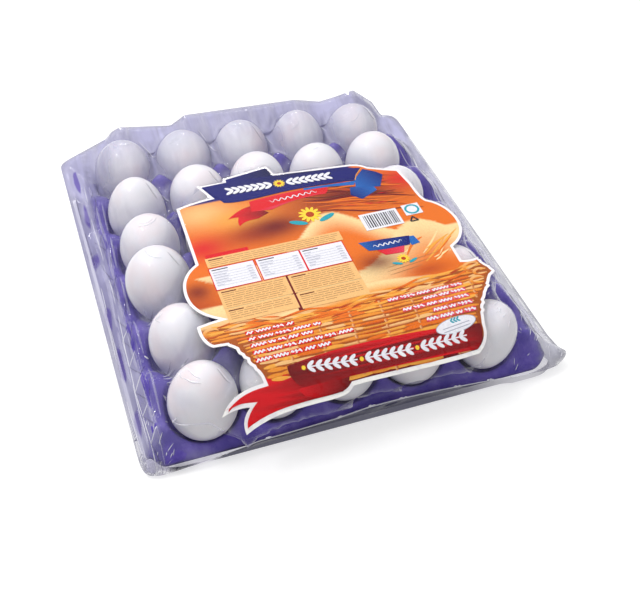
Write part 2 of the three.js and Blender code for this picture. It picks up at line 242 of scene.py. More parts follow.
@dataclass(frozen=True)
class MouldedPulp:
    """Dyed paper pulp drained on a mesh mould and dried: matt, mottled and finely fibrous."""

    deep: str = "#40318F"
    body: str = "#5A4AA4"
    worn: str = "#7C6EBB"
    fibre_mm: float = 1.1  # real fibres are a fifth of this, too fine to show
    mottle_mm: float = 16.0
    roughness: float = 0.85

    def material(self) -> Material:
        """Builds the pulp: cloudy dye, paler where fibres stand proud, with a felted bump.

        Returns:
            The finish.
        """
        material, tree, output = new_material("moulded_pulp")
        place = add_node(tree, "TexCoord").outputs["Object"]
        cloud = add_node(tree, "TexNoise", {"Vector": place, "Scale": 1 / (self.mottle_mm * MM),
                                            "Detail": 5.0, "Roughness": 0.6})
        dye = ramp(tree, cloud.outputs["Fac"], [(0.32, self.deep), (0.55, self.body), (0.8, self.worn)])
        fibre = add_node(tree, "TexNoise", {"Vector": place, "Scale": 1 / (self.fibre_mm * MM),
                                            "Detail": 3.0, "Roughness": 0.7, "Distortion": 1.5})
        fleck = add_node(tree, "MapRange", {"Value": fibre.outputs["Fac"], "From Min": 0.55,
                                            "From Max": 0.8, "To Max": 0.35})
        colour = add_node(tree, "Mix", {0: fleck.outputs["Result"], 6: dye, 7: linear(self.worn)},
                          data_type="RGBA")
        bump = add_node(tree, "Bump", {"Height": fibre.outputs["Fac"], "Strength": 0.35,
                                       "Distance": 0.6 * MM})
        lumps = add_node(tree, "Bump", {"Height": cloud.outputs["Fac"], "Strength": 0.3,
                                        "Distance": 2.5 * MM, "Normal": bump.outputs["Normal"]})
        shader = add_node(tree, "BsdfPrincipled", {
            "Base Color": colour.outputs[2], "Roughness": self.roughness,
            "Specular IOR Level": 0.25, "Normal": lumps.outputs["Normal"]})
        tree.links.new(shader.outputs[0], output.inputs["Surface"])
        return material


@dataclass(frozen=True)
class WhiteEggshell:
    """White hen's eggshell: calcite with fine pores and a thin waxy bloom, so satin with a soft shine."""

    shell: str = "#EDECEC"
    cool: str = "#E6E8E8"
    # painted reflection: pink for reddish light reflected onto the shells, placed at random by noise
    painted_pink_reflection: str = "#EEE4E2"
    pore_mm: float = 0.9  # real pores are a tenth of this, too fine to show
    blotch_mm: float = 26.0
    roughness: float = 0.42

    def material(self) -> Material:
        """Builds the shell: off-white with faint cool clouding, faint pink clouding painted in for reddish
        light reflected onto the shells, and pore stipple.

        Returns:
            The finish.
        """
        material, tree, output = new_material("white_eggshell")
        place = add_node(tree, "TexCoord").outputs["Object"]
        blotch = add_node(tree, "TexNoise", {"Vector": place, "Scale": 1 / (self.blotch_mm * MM),
                                             "Detail": 3.0})
        cloud = ramp(tree, blotch.outputs["Fac"],
                     [(0.3, self.cool), (0.5, self.shell), (0.72, self.painted_pink_reflection)])
        pores = add_node(tree, "TexNoise", {"Vector": place, "Scale": 1 / (self.pore_mm * MM),
                                            "Detail": 2.0})
        bump = add_node(tree, "Bump", {"Height": pores.outputs["Fac"], "Strength": 0.08,
                                       "Distance": 0.3 * MM})
        shader = add_node(tree, "BsdfPrincipled", {
            "Base Color": cloud, "Roughness": self.roughness, "Specular IOR Level": 0.3,
            "Subsurface Weight": 0.1, "Subsurface Radius": (0.006, 0.004, 0.003),
            "Subsurface Scale": 0.6, "Normal": bump.outputs["Normal"]})
        tree.links.new(shader.outputs[0], output.inputs["Surface"])
        return material


# Eggs


class Draw:
    """Park-Miller draw, seeded as in the part's own source, so the eggs come out alike."""

    def __init__(self, seed: int) -> None:
        """Starts the draw at a seed."""
        self.state = seed

    def between(self, low: float, high: float) -> float:
        """The next number, between low and high."""
        self.state = (self.state * 16807) % 2147483647
        return low + (high - low) * (self.state / 2147483647)

    def pick(self, choices: Sequence[Any]) -> Any:
        """The next choice from some."""
        return choices[int(self.between(0, len(choices) - 0.01))]


@dataclass
class Egg:
    """One egg: its half sizes, how much it tapers, and where and how it sits."""

    column: int
    row: int
    radius: float
    half_length: float
    taper: float
    centre: np.ndarray
    turn: np.ndarray

    @property
    def node(self) -> str:
        """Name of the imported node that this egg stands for."""
        return f"egg_{self.column}_{self.row}"

    def span(self, x: Points, y: Points, margin: float) -> tuple[Points, Points]:
        """Heights at which the egg, grown by a margin, is entered and left above each (x, y).

        Args:
            x, y: places across and along the pack.
            margin: how much the egg is grown.

        Returns:
            Lower and upper heights, infinite and minus infinite beside the egg.
        """
        foot = np.stack([x - self.centre[0], y - self.centre[1], np.zeros_like(x)], axis=-1) @ self.turn
        rise = np.array([0.0, 0.0, 1.0]) @ self.turn
        scale = np.array([self.radius + margin, self.radius + margin, self.half_length + margin])
        foot = foot / scale
        rise = rise / scale
        a = float(rise @ rise)
        b = foot @ rise
        c = (foot * foot).sum(axis=-1) - 1
        inside = b * b - a * c
        root = np.sqrt(np.maximum(inside, 0.0))
        low = np.where(inside > 0, self.centre[2] + (-b - root) / a, np.inf)
        high = np.where(inside > 0, self.centre[2] + (-b + root) / a, -np.inf)
        return low, high


@dataclass
class EggSet:
    """Thirty eggs, point down, a few of them proud, sunk or leaning."""

    columns: int = 5
    rows: int = 6
    pitch: float = 48.0
    radius: float = 21.8
    half_length: float = 29.0
    centre_z: float = 37.0
    seed: int = 20231
    segments: int = 56
    rings: int = 40
    radius_spread: Place = (-0.35, 0.2)
    length_spread: Place = (-0.7, 0.2)
    taper_spread: Place = (0.03, 0.1)
    blunt_up: float = 0.7  # share of the eggs that stand blunt end up
    lean: float = 2.0
    stray: float = 0.5
    sink: float = 0.6
    # column and row: how far it is moved across, along and up, how much it is grown, and its two leans
    odd: dict[tuple[int, int], tuple[float, ...]] = field(default_factory=lambda: {
        (1, 1): (1, -1.5, -2, 0.8, 3, -4),
        (2, 1): (0, -1, -1.5, 0, -1, -3),
        (3, 1): (-1, -1, -1.5, 0, -2, -3),
        (4, 1): (-1, -1, -2, 0, -1, -4),
        (5, 1): (4, -5, -4, -1.8, 4, -6),
        (5, 2): (2, 0, -0.5, 0, 4, 0),
        (1, 3): (-3, 4, 7, 0.6, -5, 5),
        (1, 4): (0, 2, -0.5, -0.1, 0, 3),
        (3, 5): (0, 1.5, 0, 0.2, 0, 3),
        (5, 6): (0, -1.5, -2.5, -0.2, 2, -3),
    })

    def __post_init__(self) -> None:
        """Draws every egg in the same order as the part's source."""
        draw = Draw(self.seed)
        self.eggs = [self._draw_egg(draw, column, row)
                     for row in range(1, self.rows + 1) for column in range(1, self.columns + 1)]

    def _draw_egg(self, draw: Draw, column: int, row: int) -> Egg:
        """Draws one egg.

        Args:
            draw: the draw that all eggs share.
            column: its column, from 1 on the left.
            row: its row, from 1 in front.

        Returns:
            The egg.
        """
        dx, dy, dz, grow, lean_x, lean_y = self.odd.get((column, row), (0, 0, 0, 0, 0, 0))
        radius = self.radius + grow + draw.between(*self.radius_spread)
        half_length = self.half_length + grow + draw.between(*self.length_spread)
        taper = draw.between(*self.taper_spread)
        taper *= 1 if draw.between(0, 1) < self.blunt_up else -1
        lean_x = radians(lean_x + draw.between(-self.lean, self.lean))
        lean_y = radians(lean_y + draw.between(-self.lean, self.lean))
        centre = np.array([
            (column - (self.columns + 1) / 2) * self.pitch + dx + draw.between(-self.stray, self.stray),
            (row - (self.rows + 1) / 2) * self.pitch + dy + draw.between(-self.stray, self.stray),
            self.centre_z + dz + draw.between(-self.sink, 0.0),
        ])
        turn = np.array(Matrix.Rotation(-lean_y, 3, "X") @ Matrix.Rotation(lean_x, 3, "Y"))
        return Egg(column, row, radius, half_length, taper, centre, turn)

    def build(self, shell: Material) -> None:
        """Makes one smooth shell for each egg and settles it in its cup.

        Args:
            shell: their finish.
        """
        for egg in self.eggs:
            thing = make_object(f"shell_{egg.column}_{egg.row}", *self._surface(egg), [shell])
            settle(thing, Slot.SHELL, egg.node)

    def _surface(self, egg: Egg) -> tuple[Points, list[tuple[int, ...]]]:
        """Makes an egg's rings between its two poles.

        Args:
            egg: the egg.

        Returns:
            Its vertices and faces.
        """
        points = [(0.0, 0.0, -egg.half_length)]
        for ring in range(1, self.rings):
            angle = pi * (ring / self.rings - 0.5)
            wide = egg.radius * cos(angle) * (1 + egg.taper * sin(angle))
            for step in range(self.segments):
                around = 2 * pi * step / self.segments
                points.append((wide * cos(around), wide * sin(around),
                               egg.half_length * sin(angle)))
        points.append((0.0, 0.0, egg.half_length))
        last = len(points) - 1
        faces: list[tuple[int, ...]] = []
        for step in range(self.segments):
            after = (step + 1) % self.segments
            faces.append((0, 1 + after, 1 + step))
            for ring in range(self.rings - 2):
                low = 1 + ring * self.segments
                high = low + self.segments
                faces.append((low + step, low + after, high + after, high + step))
            top = 1 + (self.rings - 2) * self.segments
            faces.append((top + step, top + after, last))
        return np.array(points) @ egg.turn.T + egg.centre, faces


# Tray


@dataclass
class PulpTray:
    """The moulded tray: cups, saddles and posts on one lattice, and sloping flanges round it."""

    eggs: EggSet
    pulp: float = 2.4
    half_x: float = 136.0
    half_y: float = 143.4
    corner: float = 12.0
    flare: float = 8.0  # how much further the right flange runs out
    flare_y: Place = (120.0, 70.0)  # where along the tray it starts and is full
    flare_x: float = 100.0  # where across the tray it starts
    bulge: float = 8.0  # how much fuller the flange is where it runs out
    step: float = 1.7
    saddle_z: float = 26.0
    post_z: float = 47.0
    edge_post_z: float = 35.0  # the worn posts along the left edge
    edge_post_x: Place = (98.0, 114.0)  # how far to the left the wear starts and is full
    rim_z: float = 9.5
    slope_x: float = 2.15
    slope_y: float = 1.25
    cup_flat: float = 0.15
    clearance: float = 0.5
    cup_gap: float = 5.0
    cup_drop: float = 4.5
    cup_reach: float = 0.72  # share of the pitch
    flank_radius: float = 21.0
    flank_drop: float = 12.0
    flank_slope: float = 2.5
    rounding: float = 3.0
    lip: Place = (1.2, 2.5)  # depth and width of the worn edge

    def wave(self, x: Points, y: Points) -> Points:
        """Finds each place on the lattice of cups.

        Args:
            x, y: places across and along the tray.

        Returns:
            0 over a cup's centre, 0.5 on a saddle and 1 on a post.
        """
        eggs = self.eggs
        near_x = np.clip(x, -eggs.columns * eggs.pitch / 2, eggs.columns * eggs.pitch / 2)
        near_y = np.clip(y, -eggs.rows * eggs.pitch / 2, eggs.rows * eggs.pitch / 2)
        across = np.cos(2 * np.pi * near_x / eggs.pitch)
        along = -np.cos(2 * np.pi * near_y / eggs.pitch)
        return (2 - across - along) / 4

    def half_width(self, x: Points, y: Points) -> Points:
        """Half width of the tray, whose right flange runs out further than its left one."""
        return self.half_x + self.flare * (x > 0) * smooth(-y, -self.flare_y[0], -self.flare_y[1])

    def height(self, x: Points, y: Points) -> Points:
        """Upper face of the pulp at each place.

        Args:
            x, y: places across and along the tray.

        Returns:
            Heights above the tray's foot.
        """
        wave = self.wave(x, y)
        rise = self.pulp + (self.saddle_z - self.pulp) * (wave - self.cup_flat) / (0.5 - self.cup_flat)
        post_z = self.post_z + (self.edge_post_z - self.post_z) * smooth(-x, *self.edge_post_x)
        post = self.saddle_z + (post_z - self.saddle_z) * (wave - 0.5) / 0.5
        height = np.where(wave < self.cup_flat, self.pulp, np.where(wave < 0.5, rise, post))
        lattice = self.eggs.columns * self.eggs.pitch / 2
        wide = self.half_width(x, y)
        reach = (np.abs(x) - lattice) / (wide - lattice)
        side = (self.rim_z + (self.half_x - lattice) * self.slope_x * (1 - reach)
                + self.bulge * (wide > self.half_x) * np.clip(4 * reach * (1 - reach), 0, 1))
        end = self.rim_z + (self.half_y - np.abs(y)) * self.slope_y
        height = soft_min(height, side, 2 * self.rounding)
        height = soft_min(height, end, 2 * self.rounding)
        for egg in self.eggs.eggs:
            away = np.hypot(x - egg.centre[0], y - egg.centre[1])
            near = away < self.eggs.pitch * self.cup_reach
            bound = np.where(near, self._cup(egg, x, y, away), height + 50)
            height = np.where(near, soft_min(height, bound, self.rounding), height)
        return np.maximum(height, self.pulp)

    def _cup(self, egg: Egg, x: Points, y: Points, away: Points) -> Points:
        """Heights that the pulp may not pass round an egg.

        Args:
            egg: the egg.
            x, y: places across and along the tray.
            away: how far each place is from the egg's middle.

        Returns:
            The heights.
        """
        low, _ = egg.span(x, y, self.clearance)
        hollow, _ = egg.span(x, y, self.cup_gap)
        flank = egg.centre[2] - self.flank_drop + self.flank_slope * (away - self.flank_radius)
        beside = np.where(away > self.flank_radius, np.minimum(low, flank), low)
        return np.minimum(beside, hollow + self.cup_drop)

    def grid(self) -> tuple[Points, Points, int, int]:
        """Lays out the tray's grid, drawn in at the corners.

        Returns:
            Places across and along, and the number of columns and rows of quads.
        """
        columns = round(2 * self.half_x / self.step)
        rows = round(2 * self.half_y / self.step)
        x, y = np.meshgrid(np.linspace(-self.half_x, self.half_x, columns + 1),
                           np.linspace(-self.half_y, self.half_y, rows + 1))
        straight_x, straight_y = self.half_x - self.corner, self.half_y - self.corner
        past_x, past_y = np.abs(x) - straight_x, np.abs(y) - straight_y
        both = (past_x > 0) & (past_y > 0)
        reach = np.maximum(past_x, past_y) / np.maximum(np.hypot(past_x, past_y), 1e-6)
        x = np.where(both, np.sign(x) * (straight_x + past_x * reach), x)
        y = np.where(both, np.sign(y) * (straight_y + past_y * reach), y)
        run_out = self.half_width(x, y) - self.half_x
        return x + run_out * smooth(x, self.flare_x, self.half_x), y, columns, rows

    def build(self, pulp: Material) -> None:
        """Makes the tray as one closed wall and settles it.

        Args:
            pulp: its finish.
        """
        x, y, columns, rows = self.grid()
        top = self.height(x, y)
        edge = np.minimum(self.half_width(x, y) - np.abs(x), self.half_y - np.abs(y))
        depth, width = self.lip
        top = top - depth * (1 - smooth(edge, 0.0, width))
        upper = np.stack([x, y, top], axis=-1).reshape(-1, 3)
        lower = upper - [0.0, 0.0, self.pulp]
        lower[:, 2] = np.maximum(lower[:, 2], 0.0)
        count = len(upper)
        faces = grid_faces(columns, rows) + grid_faces(columns, rows, count, flip=True)
        rim = self._rim(columns, rows)
        for a, b in zip(rim, rim[1:] + rim[:1]):
            faces.append((b, a, a + count, b + count))
        thing = make_object("pulp_tray", np.vstack([upper, lower]), faces, [pulp])
        settle(thing, Slot.PULP, "tray")

    @staticmethod
    def _rim(columns: int, rows: int) -> list[int]:
        """Walks round the grid, anticlockwise seen from above.

        Args:
            columns, rows: number of quads each way.

        Returns:
            Index of each vertex on the way.
        """
        wide = columns + 1
        front, right = list(range(columns)), [j * wide + columns for j in range(rows)]
        back, left = [rows * wide + i for i in range(columns, 0, -1)], [j * wide for j in range(rows, 0, -1)]
        return front + right + back + left


# Label


class Ink(Enum):
    """The label's print colours."""

    WHITE = "#EEEFF1"
    NAVY = "#0A106C"
    INDIGO = "#0A0E44"
    BLUE = "#1C66B4"
    SCARLET = "#DC121C"
    MAROON = "#6E0D10"
    ROSE = "#E0415A"
    CREAM = "#F2C07A"
    BROWN = "#B08250"
    GOLD = "#F4AC42"
    SUN = "#FFD93B"
    PALE = "#F8DC9C"
    AMBER = "#EC9430"
    STRAW = "#A9551C"
    ORANGE = "#E9741A"
    RUST = "#B5420E"
    UMBER = "#66290F"
    TEAL = "#23A3B0"
    GREY = "#A9ACB8"
    BLACK = "#27252E"

    def rgb(self) -> np.ndarray:
        """The ink's linear red, green and blue."""
        return np.array(linear(self.value)[:3])


def bezier(a: Place, b: Place, c: Place, d: Place, steps: int = 8) -> list[Place]:
    """Points of a cubic curve after its first point.

    Args:
        a, d: the ends.
        b, c: their handles.
        steps: number of chords.

    Returns:
        The points, the last end among them.
    """
    t = np.linspace(0, 1, steps + 1)[1:, None]
    shares = ((1 - t) ** 3, 3 * t * (1 - t) ** 2, 3 * t * t * (1 - t), t ** 3)
    return list(map(tuple, sum(share * np.array(end) for share, end in zip(shares, (a, b, c, d)))))


def trace(*parts: tuple[Any, ...]) -> list[Place]:
    """Outline made of corners and curves.

    Args:
        parts: each a corner (x, y), or a curve on from the last place: its two handles, its end and,
            where they are not 8, its number of chords.

    Returns:
        The outline's points.
    """
    points: list[Place] = []
    for part in parts:
        points += bezier(points[-1], *part) if isinstance(part[0], tuple) else [part]
    return points


def oval(x: float, y: float, wide: float, high: float, turn: float = 0.0, steps: int = 14) -> list[Place]:
    """Outline of an ellipse.

    Args:
        x, y: its middle.
        wide, high: its half sizes across and along, before it is turned.
        turn: its turn in degrees.
        steps: number of corners.

    Returns:
        The outline.
    """
    run, rise = cos(radians(turn)), sin(radians(turn))
    around = [2 * pi * step / steps for step in range(steps)]
    return [(x + wide * cos(t) * run - high * sin(t) * rise,
             y + wide * cos(t) * rise + high * sin(t) * run) for t in around]


def slab(left: float, bottom: float, right: float, top: float) -> list[Place]:
    """Outline of a rectangle."""
    return [(left, bottom), (right, bottom), (right, top), (left, top)]


def stroke(points: Line, width: float, taper: bool = False) -> list[Place]:
    """Outline of a line drawn along some points.

    Args:
        points: the line's points.
        width: full width of the line.
        taper: draws both ends to a point.

    Returns:
        The outline.
    """
    line = np.array(points, dtype=float)
    along = np.gradient(line, axis=0)
    along /= np.maximum(np.hypot(along[:, 0], along[:, 1])[:, None], 1e-9)
    across = np.stack([-along[:, 1], along[:, 0]], axis=1)
    half = np.full(len(line), width / 2)
    if taper:
        half *= np.sqrt(np.maximum(np.sin(np.pi * np.linspace(0.04, 0.96, len(line))), 0.0))
    left = line + across * half[:, None]
    right = line - across * half[:, None]
    return [tuple(point) for point in np.vstack([right, left[::-1]])]


def inset(outline: Line, distance: float) -> list[Place]:
    """Draws an outline in by a distance, with its sharp corners held back.

    Args:
        outline: the closed outline.
        distance: how far in.

    Returns:
        The smaller outline.
    """
    points = np.array(outline, dtype=float)
    after = np.roll(points, -1, axis=0)
    turn = 1.0 if np.sum(points[:, 0] * after[:, 1] - after[:, 0] * points[:, 1]) > 0 else -1.0
    way = after - points
    way /= np.maximum(np.hypot(way[:, 0], way[:, 1])[:, None], 1e-9)
    inward = turn * np.stack([-way[:, 1], way[:, 0]], axis=1)
    both = inward + np.roll(inward, 1, axis=0)
    size = np.maximum((both * both).sum(axis=1, keepdims=True), 0.35)
    return [tuple(point) for point in points + 2 * distance * both / size]


def within(outline: Line, x: Points, y: Points) -> Points:
    """Tells which places lie inside an outline.

    Args:
        outline: the closed outline.
        x, y: places across and along.

    Returns:
        True for each place inside.
    """
    inside = np.zeros(np.shape(x), dtype=bool)
    for (ax, ay), (bx, by) in zip(outline, [*outline[1:], outline[0]]):
        if ay != by:
            inside ^= ((ay > y) != (by > y)) & (x < ax + (y - ay) / (by - ay) * (bx - ax))
    return inside


def fade(start: Place, end: Place, *inks: Ink) -> Tint:
    """Runs through some colours from one place to another.

    Args:
        start, end: where the first and the last colour lie.
        inks: the colours.

    Returns:
        What gives the linear colour at each place.
    """
    colours = np.array([ink.rgb() for ink in inks])
    way = np.subtract(end, start)

    def tint(x: Points, y: Points) -> Points:
        """Finds the colour at each place, by how far it is along the way.

        Args:
            x, y: the places.

        Returns:
            Their colours.
        """
        share = ((x - start[0]) * way[0] + (y - start[1]) * way[1]) / float(way @ way)
        spot = np.clip(share, 0, 1) * (len(colours) - 1)
        return np.stack([np.interp(spot, range(len(colours)), part) for part in colours.T], axis=1)

    return tint


@dataclass
class Motif:
    """One printed shape: its outline in the label's plan, its colour and how many inks lie under it."""

    outline: list[Place]
    tint: Tint | Ink
    level: int

    def colours(self, x: Points, y: Points) -> Points:
        """Linear colour of the shape at each place."""
        return np.tile(self.tint.rgb(), (len(x), 1)) if isinstance(self.tint, Ink) else self.tint(x, y)


@dataclass(frozen=True)
class CoatedCard:
    """Clay-coated board, offset printed and cut with a white margin: smooth, with a low even gloss."""

    roughness: float = 0.4
    gloss: float = 0.12
    felt: tuple[str, str] = ("#EDEBE7", "#F7F5F2")
    felt_mm: float = 0.8
    grain_mm: float = 1.2

    def board(self) -> Material:
        """The bare white board that shows as a margin and at the cut edge.

        Returns:
            The finish.
        """
        material, tree, output = new_material("coated_card")
        place = add_node(tree, "TexCoord").outputs["Object"]
        felt = add_node(tree, "TexNoise", {"Vector": place, "Scale": 1 / (self.felt_mm * MM), "Detail": 2.0})
        colour = ramp(tree, felt.outputs["Fac"], [(0.3, self.felt[0]), (0.7, self.felt[1])])
        shader = add_node(tree, "BsdfPrincipled", {"Base Color": colour, "Roughness": self.roughness,
                                                   "Specular IOR Level": self.gloss})
        tree.links.new(shader.outputs[0], output.inputs["Surface"])
        return material

    def printed_face(self) -> Material:
        """The printed face: ink colour from the mesh under a faint screen of ink grain.

        Returns:
            The finish.
        """
        material, tree, output = new_material("offset_print")
        ink = add_node(tree, "Attribute", attribute_name="ink").outputs["Color"]
        place = add_node(tree, "TexCoord").outputs["Object"]
        grain = add_node(tree, "TexNoise", {"Vector": place, "Scale": 1 / (self.grain_mm * MM),
                                            "Detail": 2.0})
        shade = add_node(tree, "MapRange", {"Value": grain.outputs["Fac"], "From Min": 0.3,
                                            "From Max": 0.7, "To Min": 0.86, "To Max": 1.0})
        colour = add_node(tree, "VectorMath", {0: ink, 1: shade.outputs["Result"]}, operation="MULTIPLY")
        shader = add_node(tree, "BsdfPrincipled", {
            "Base Color": colour.outputs[0], "Roughness": self.roughness, "Specular IOR Level": self.gloss})
        tree.links.new(shader.outputs[0], output.inputs["Surface"])
        return material


@dataclass
class CardLabel:
    """The die-cut label on the egg tops, bent down over the front row and printed in flat shapes."""

    card: float = 0.4
    under_z: float = 66.5
    bend_y: float = -112.0
    bend_radius: float = 60.0
    bend_angle: float = radians(42)
    margin: float = 2.0
    ink_step: float = 0.03
    bend_step: float = 2.5
    bend_strips: int = 20
    tint_step: float = 2.0
    reach: tuple[int, int] = (-81, 60)  # first and last cut across and along, in tint steps
    seed: int = 97
    torn: tuple[Place, ...] = ((101, -85.6), (108.5, -85.4), (110.5, -91), (114.4, -100), (108, -106),
                               (103.4, -113), (97.6, -120), (93, -127), (90.5, -134))
    torn_left: tuple[Place, ...] = ((-61.4, -138), (-64.5, -131), (-67.5, -123.5), (-71, -116),
                                    (-75.5, -109.4))

    def outline(self) -> list[Place]:
        """Draws the die-cut shape: lobes, a slanted banner end, ragged straw and a ribbon's tail.

        Returns:
            Its outline seen from above.
        """
        draw = Draw(self.seed)
        upper = trace(
            (-83.3, -110.5), ((-88, -107), (-89.6, -98), (-88.5, -90.3)), (-80, -88.8), (-73.5, -88.2),
            ((-83, -82), (-88.5, -74), (-89, -63), 12), ((-89.5, -50), (-85, -40), (-75, -33.5), 12),
            (-73.5, 28), ((-64, 31), (-55, 32.4), (-47.4, 32.8)), (-53.6, 48.6), (-33.4, 48.2), (-33, 52.2),
            (2.2, 57.6), (5, 46.4), ((30, 43.5), (50, 42), (62, 40.4)), ((68, 39.5), (72, 37), (74.5, 33.4)),
            (86, 27.6), (95.5, 23.5), (98.2, 5), ((98.4, -8), (99, -13), (101, -16.5)),
            ((116, -26), (121, -58), (97.6, -69.6), 12), (97, -84.5))
        right = self._ragged(draw, self.torn)
        lower = trace(
            (88.6, -138.6), ((88.6, -147), (84, -151), (79, -153.2)),
            ((50, -154.4), (10, -152.6), (-6.5, -153.2)),
            ((-11, -156.8), (-14, -157), (-30, -156.8)), ((-52, -156.8), (-64, -157.6), (-78, -162.6)),
            ((-79.4, -158), (-77, -154), (-72, -151.2)), ((-79, -150.2), (-84, -151), (-90, -152.6)),
            ((-83, -144), (-72, -141.6), (-60.5, -141.4)))
        return upper + right + lower + self._ragged(draw, self.torn_left)

    @staticmethod
    def _ragged(draw: Draw, line: Line, parts: int = 4) -> list[Place]:
        """Breaks a line into short uneven steps, as where the cut follows the straw.

        Args:
            draw: the outline's draw.
            line: the line's corners.
            parts: steps between two corners.

        Returns:
            The uneven line, without its last corner.
        """
        points = []
        for a, b in zip(line, line[1:]):
            for part in range(parts):
                share = part / parts
                points.append((a[0] + (b[0] - a[0]) * share + draw.between(-0.8, 0.8),
                               a[1] + (b[1] - a[1]) * share + draw.between(-0.3, 0.3)))
        return points

    def surface(self, x: Points, y: Points, lift: Points | float) -> Points:
        """Points on the card's upper face, raised along its normal.

        Args:
            x, y: places across and along the label, seen from above.
            lift: height above the face.

        Returns:
            The points.
        """
        ahead = np.maximum(self.bend_y - y, 0.0)
        reach = self.bend_radius * sin(self.bend_angle)
        angle = np.arcsin(np.minimum(ahead, reach) / self.bend_radius)
        drop = self.bend_radius * (1 - np.cos(angle))
        drop = drop + np.maximum(ahead - reach, 0.0) * tan(self.bend_angle)
        top = self.under_z + self.card - drop
        return np.stack([x, y - lift * np.sin(angle), top + lift * np.cos(angle)], axis=-1)

    def build(self, board: Material, ink: Material) -> None:
        """Makes the bent card and its print, and settles both.

        Args:
            board: finish of the card.
            ink: finish of the print.
        """
        self._build_card(board)
        motifs = LabelPrint(self).motifs()
        sheet = bmesh.new()
        layer = sheet.faces.layers.int.new("motif")
        self._add(sheet, layer, 0, motifs[0])
        for at in range(*self.reach):
            self._cut(sheet, self.tint_step * at, (1, 0, 0))
            self._cut(sheet, self.tint_step * at, (0, 1, 0))
        for at, motif in enumerate(motifs[1:], 1):
            self._add(sheet, layer, at, motif)
        self._bend_lines(sheet)
        flat = np.array([vertex.co for vertex in sheet.verts])
        faces = [[vertex.index for vertex in face.verts] for face in sheet.faces]
        owner = np.repeat([face[layer] for face in sheet.faces], [len(face) for face in faces])
        sheet.free()
        thing = make_object("label_print", self.surface(*flat.T), faces, [ink])
        corner = flat[np.concatenate(faces)]
        colours = np.ones((len(corner), 4))
        for at, motif in enumerate(motifs):
            mine = owner == at
            colours[mine, :3] = motif.colours(corner[mine, 0], corner[mine, 1])
        paint = thing.data.color_attributes.new(name="ink", type="FLOAT_COLOR", domain="CORNER")
        paint.data.foreach_set("color", colours.ravel())
        settle(thing, Slot.CARD, "label")

    def _add(self, sheet: BMesh, layer: Any, at: int, motif: Motif) -> None:
        """Adds one motif's triangles to a sheet, at a height of its own.

        Args:
            sheet: the sheet.
            layer: the layer that tells which motif a face belongs to.
            at: the motif's number.
            motif: the motif.
        """
        height = self.ink_step * (motif.level + at % 40 / 50)
        ring = [Vector((x, y, height)) for x, y in motif.outline]
        vertices = [sheet.verts.new(point) for point in ring]
        for triangle in tessellate_polygon([ring]):
            corners = [vertices[corner] for corner in triangle]
            side = (corners[1].co - corners[0].co).cross(corners[2].co - corners[0].co).z
            if abs(side) > 1e-6:
                face = sheet.faces.new(corners if side > 0 else corners[::-1])
                face[layer] = at

    @staticmethod
    def _cut(sheet: BMesh, value: float, normal: Spot) -> None:
        """Cuts a whole sheet along one upright plane."""
        bmesh.ops.bisect_plane(sheet, geom=sheet.verts[:] + sheet.edges[:] + sheet.faces[:], dist=1e-4,
                               plane_co=tuple(value * part for part in normal), plane_no=normal)

    def _bend_lines(self, sheet: BMesh) -> None:
        """Cuts a sheet into strips fine enough to bend smoothly, and numbers its vertices.

        Args:
            sheet: the sheet.
        """
        for step in range(self.bend_strips):
            self._cut(sheet, self.bend_y - self.bend_step * step, (0, 1, 0))
        sheet.verts.index_update()

    def _build_card(self, board: Material) -> None:
        """Makes the card as a closed bent slab.

        Args:
            board: its finish.
        """
        sheet = bmesh.new()
        layer = sheet.faces.layers.int.new("motif")
        self._add(sheet, layer, 0, Motif(self.outline(), Ink.WHITE, 0))
        self._bend_lines(sheet)
        bmesh.ops.remove_doubles(sheet, verts=sheet.verts[:], dist=1e-3)
        sheet.verts.index_update()
        points = np.array([vertex.co for vertex in sheet.verts])
        count = len(points)
        faces = [[vertex.index for vertex in face.verts] for face in sheet.faces]
        sides = []
        for edge in sheet.edges:
            if len(edge.link_faces) == 1:
                loop = edge.link_loops[0]
                a, b = loop.vert.index, loop.link_loop_next.vert.index
                sides.append([b, a, a + count, b + count])
        sheet.free()
        top = self.surface(points[:, 0], points[:, 1], 0.0)
        under = [[corner + count for corner in face[::-1]] for face in faces]
        thing = make_object("label_card", np.vstack([top, top - [0, 0, self.card]]), faces + under + sides,
                            [board], flat=True)
        settle(thing, Slot.CARD, "label")


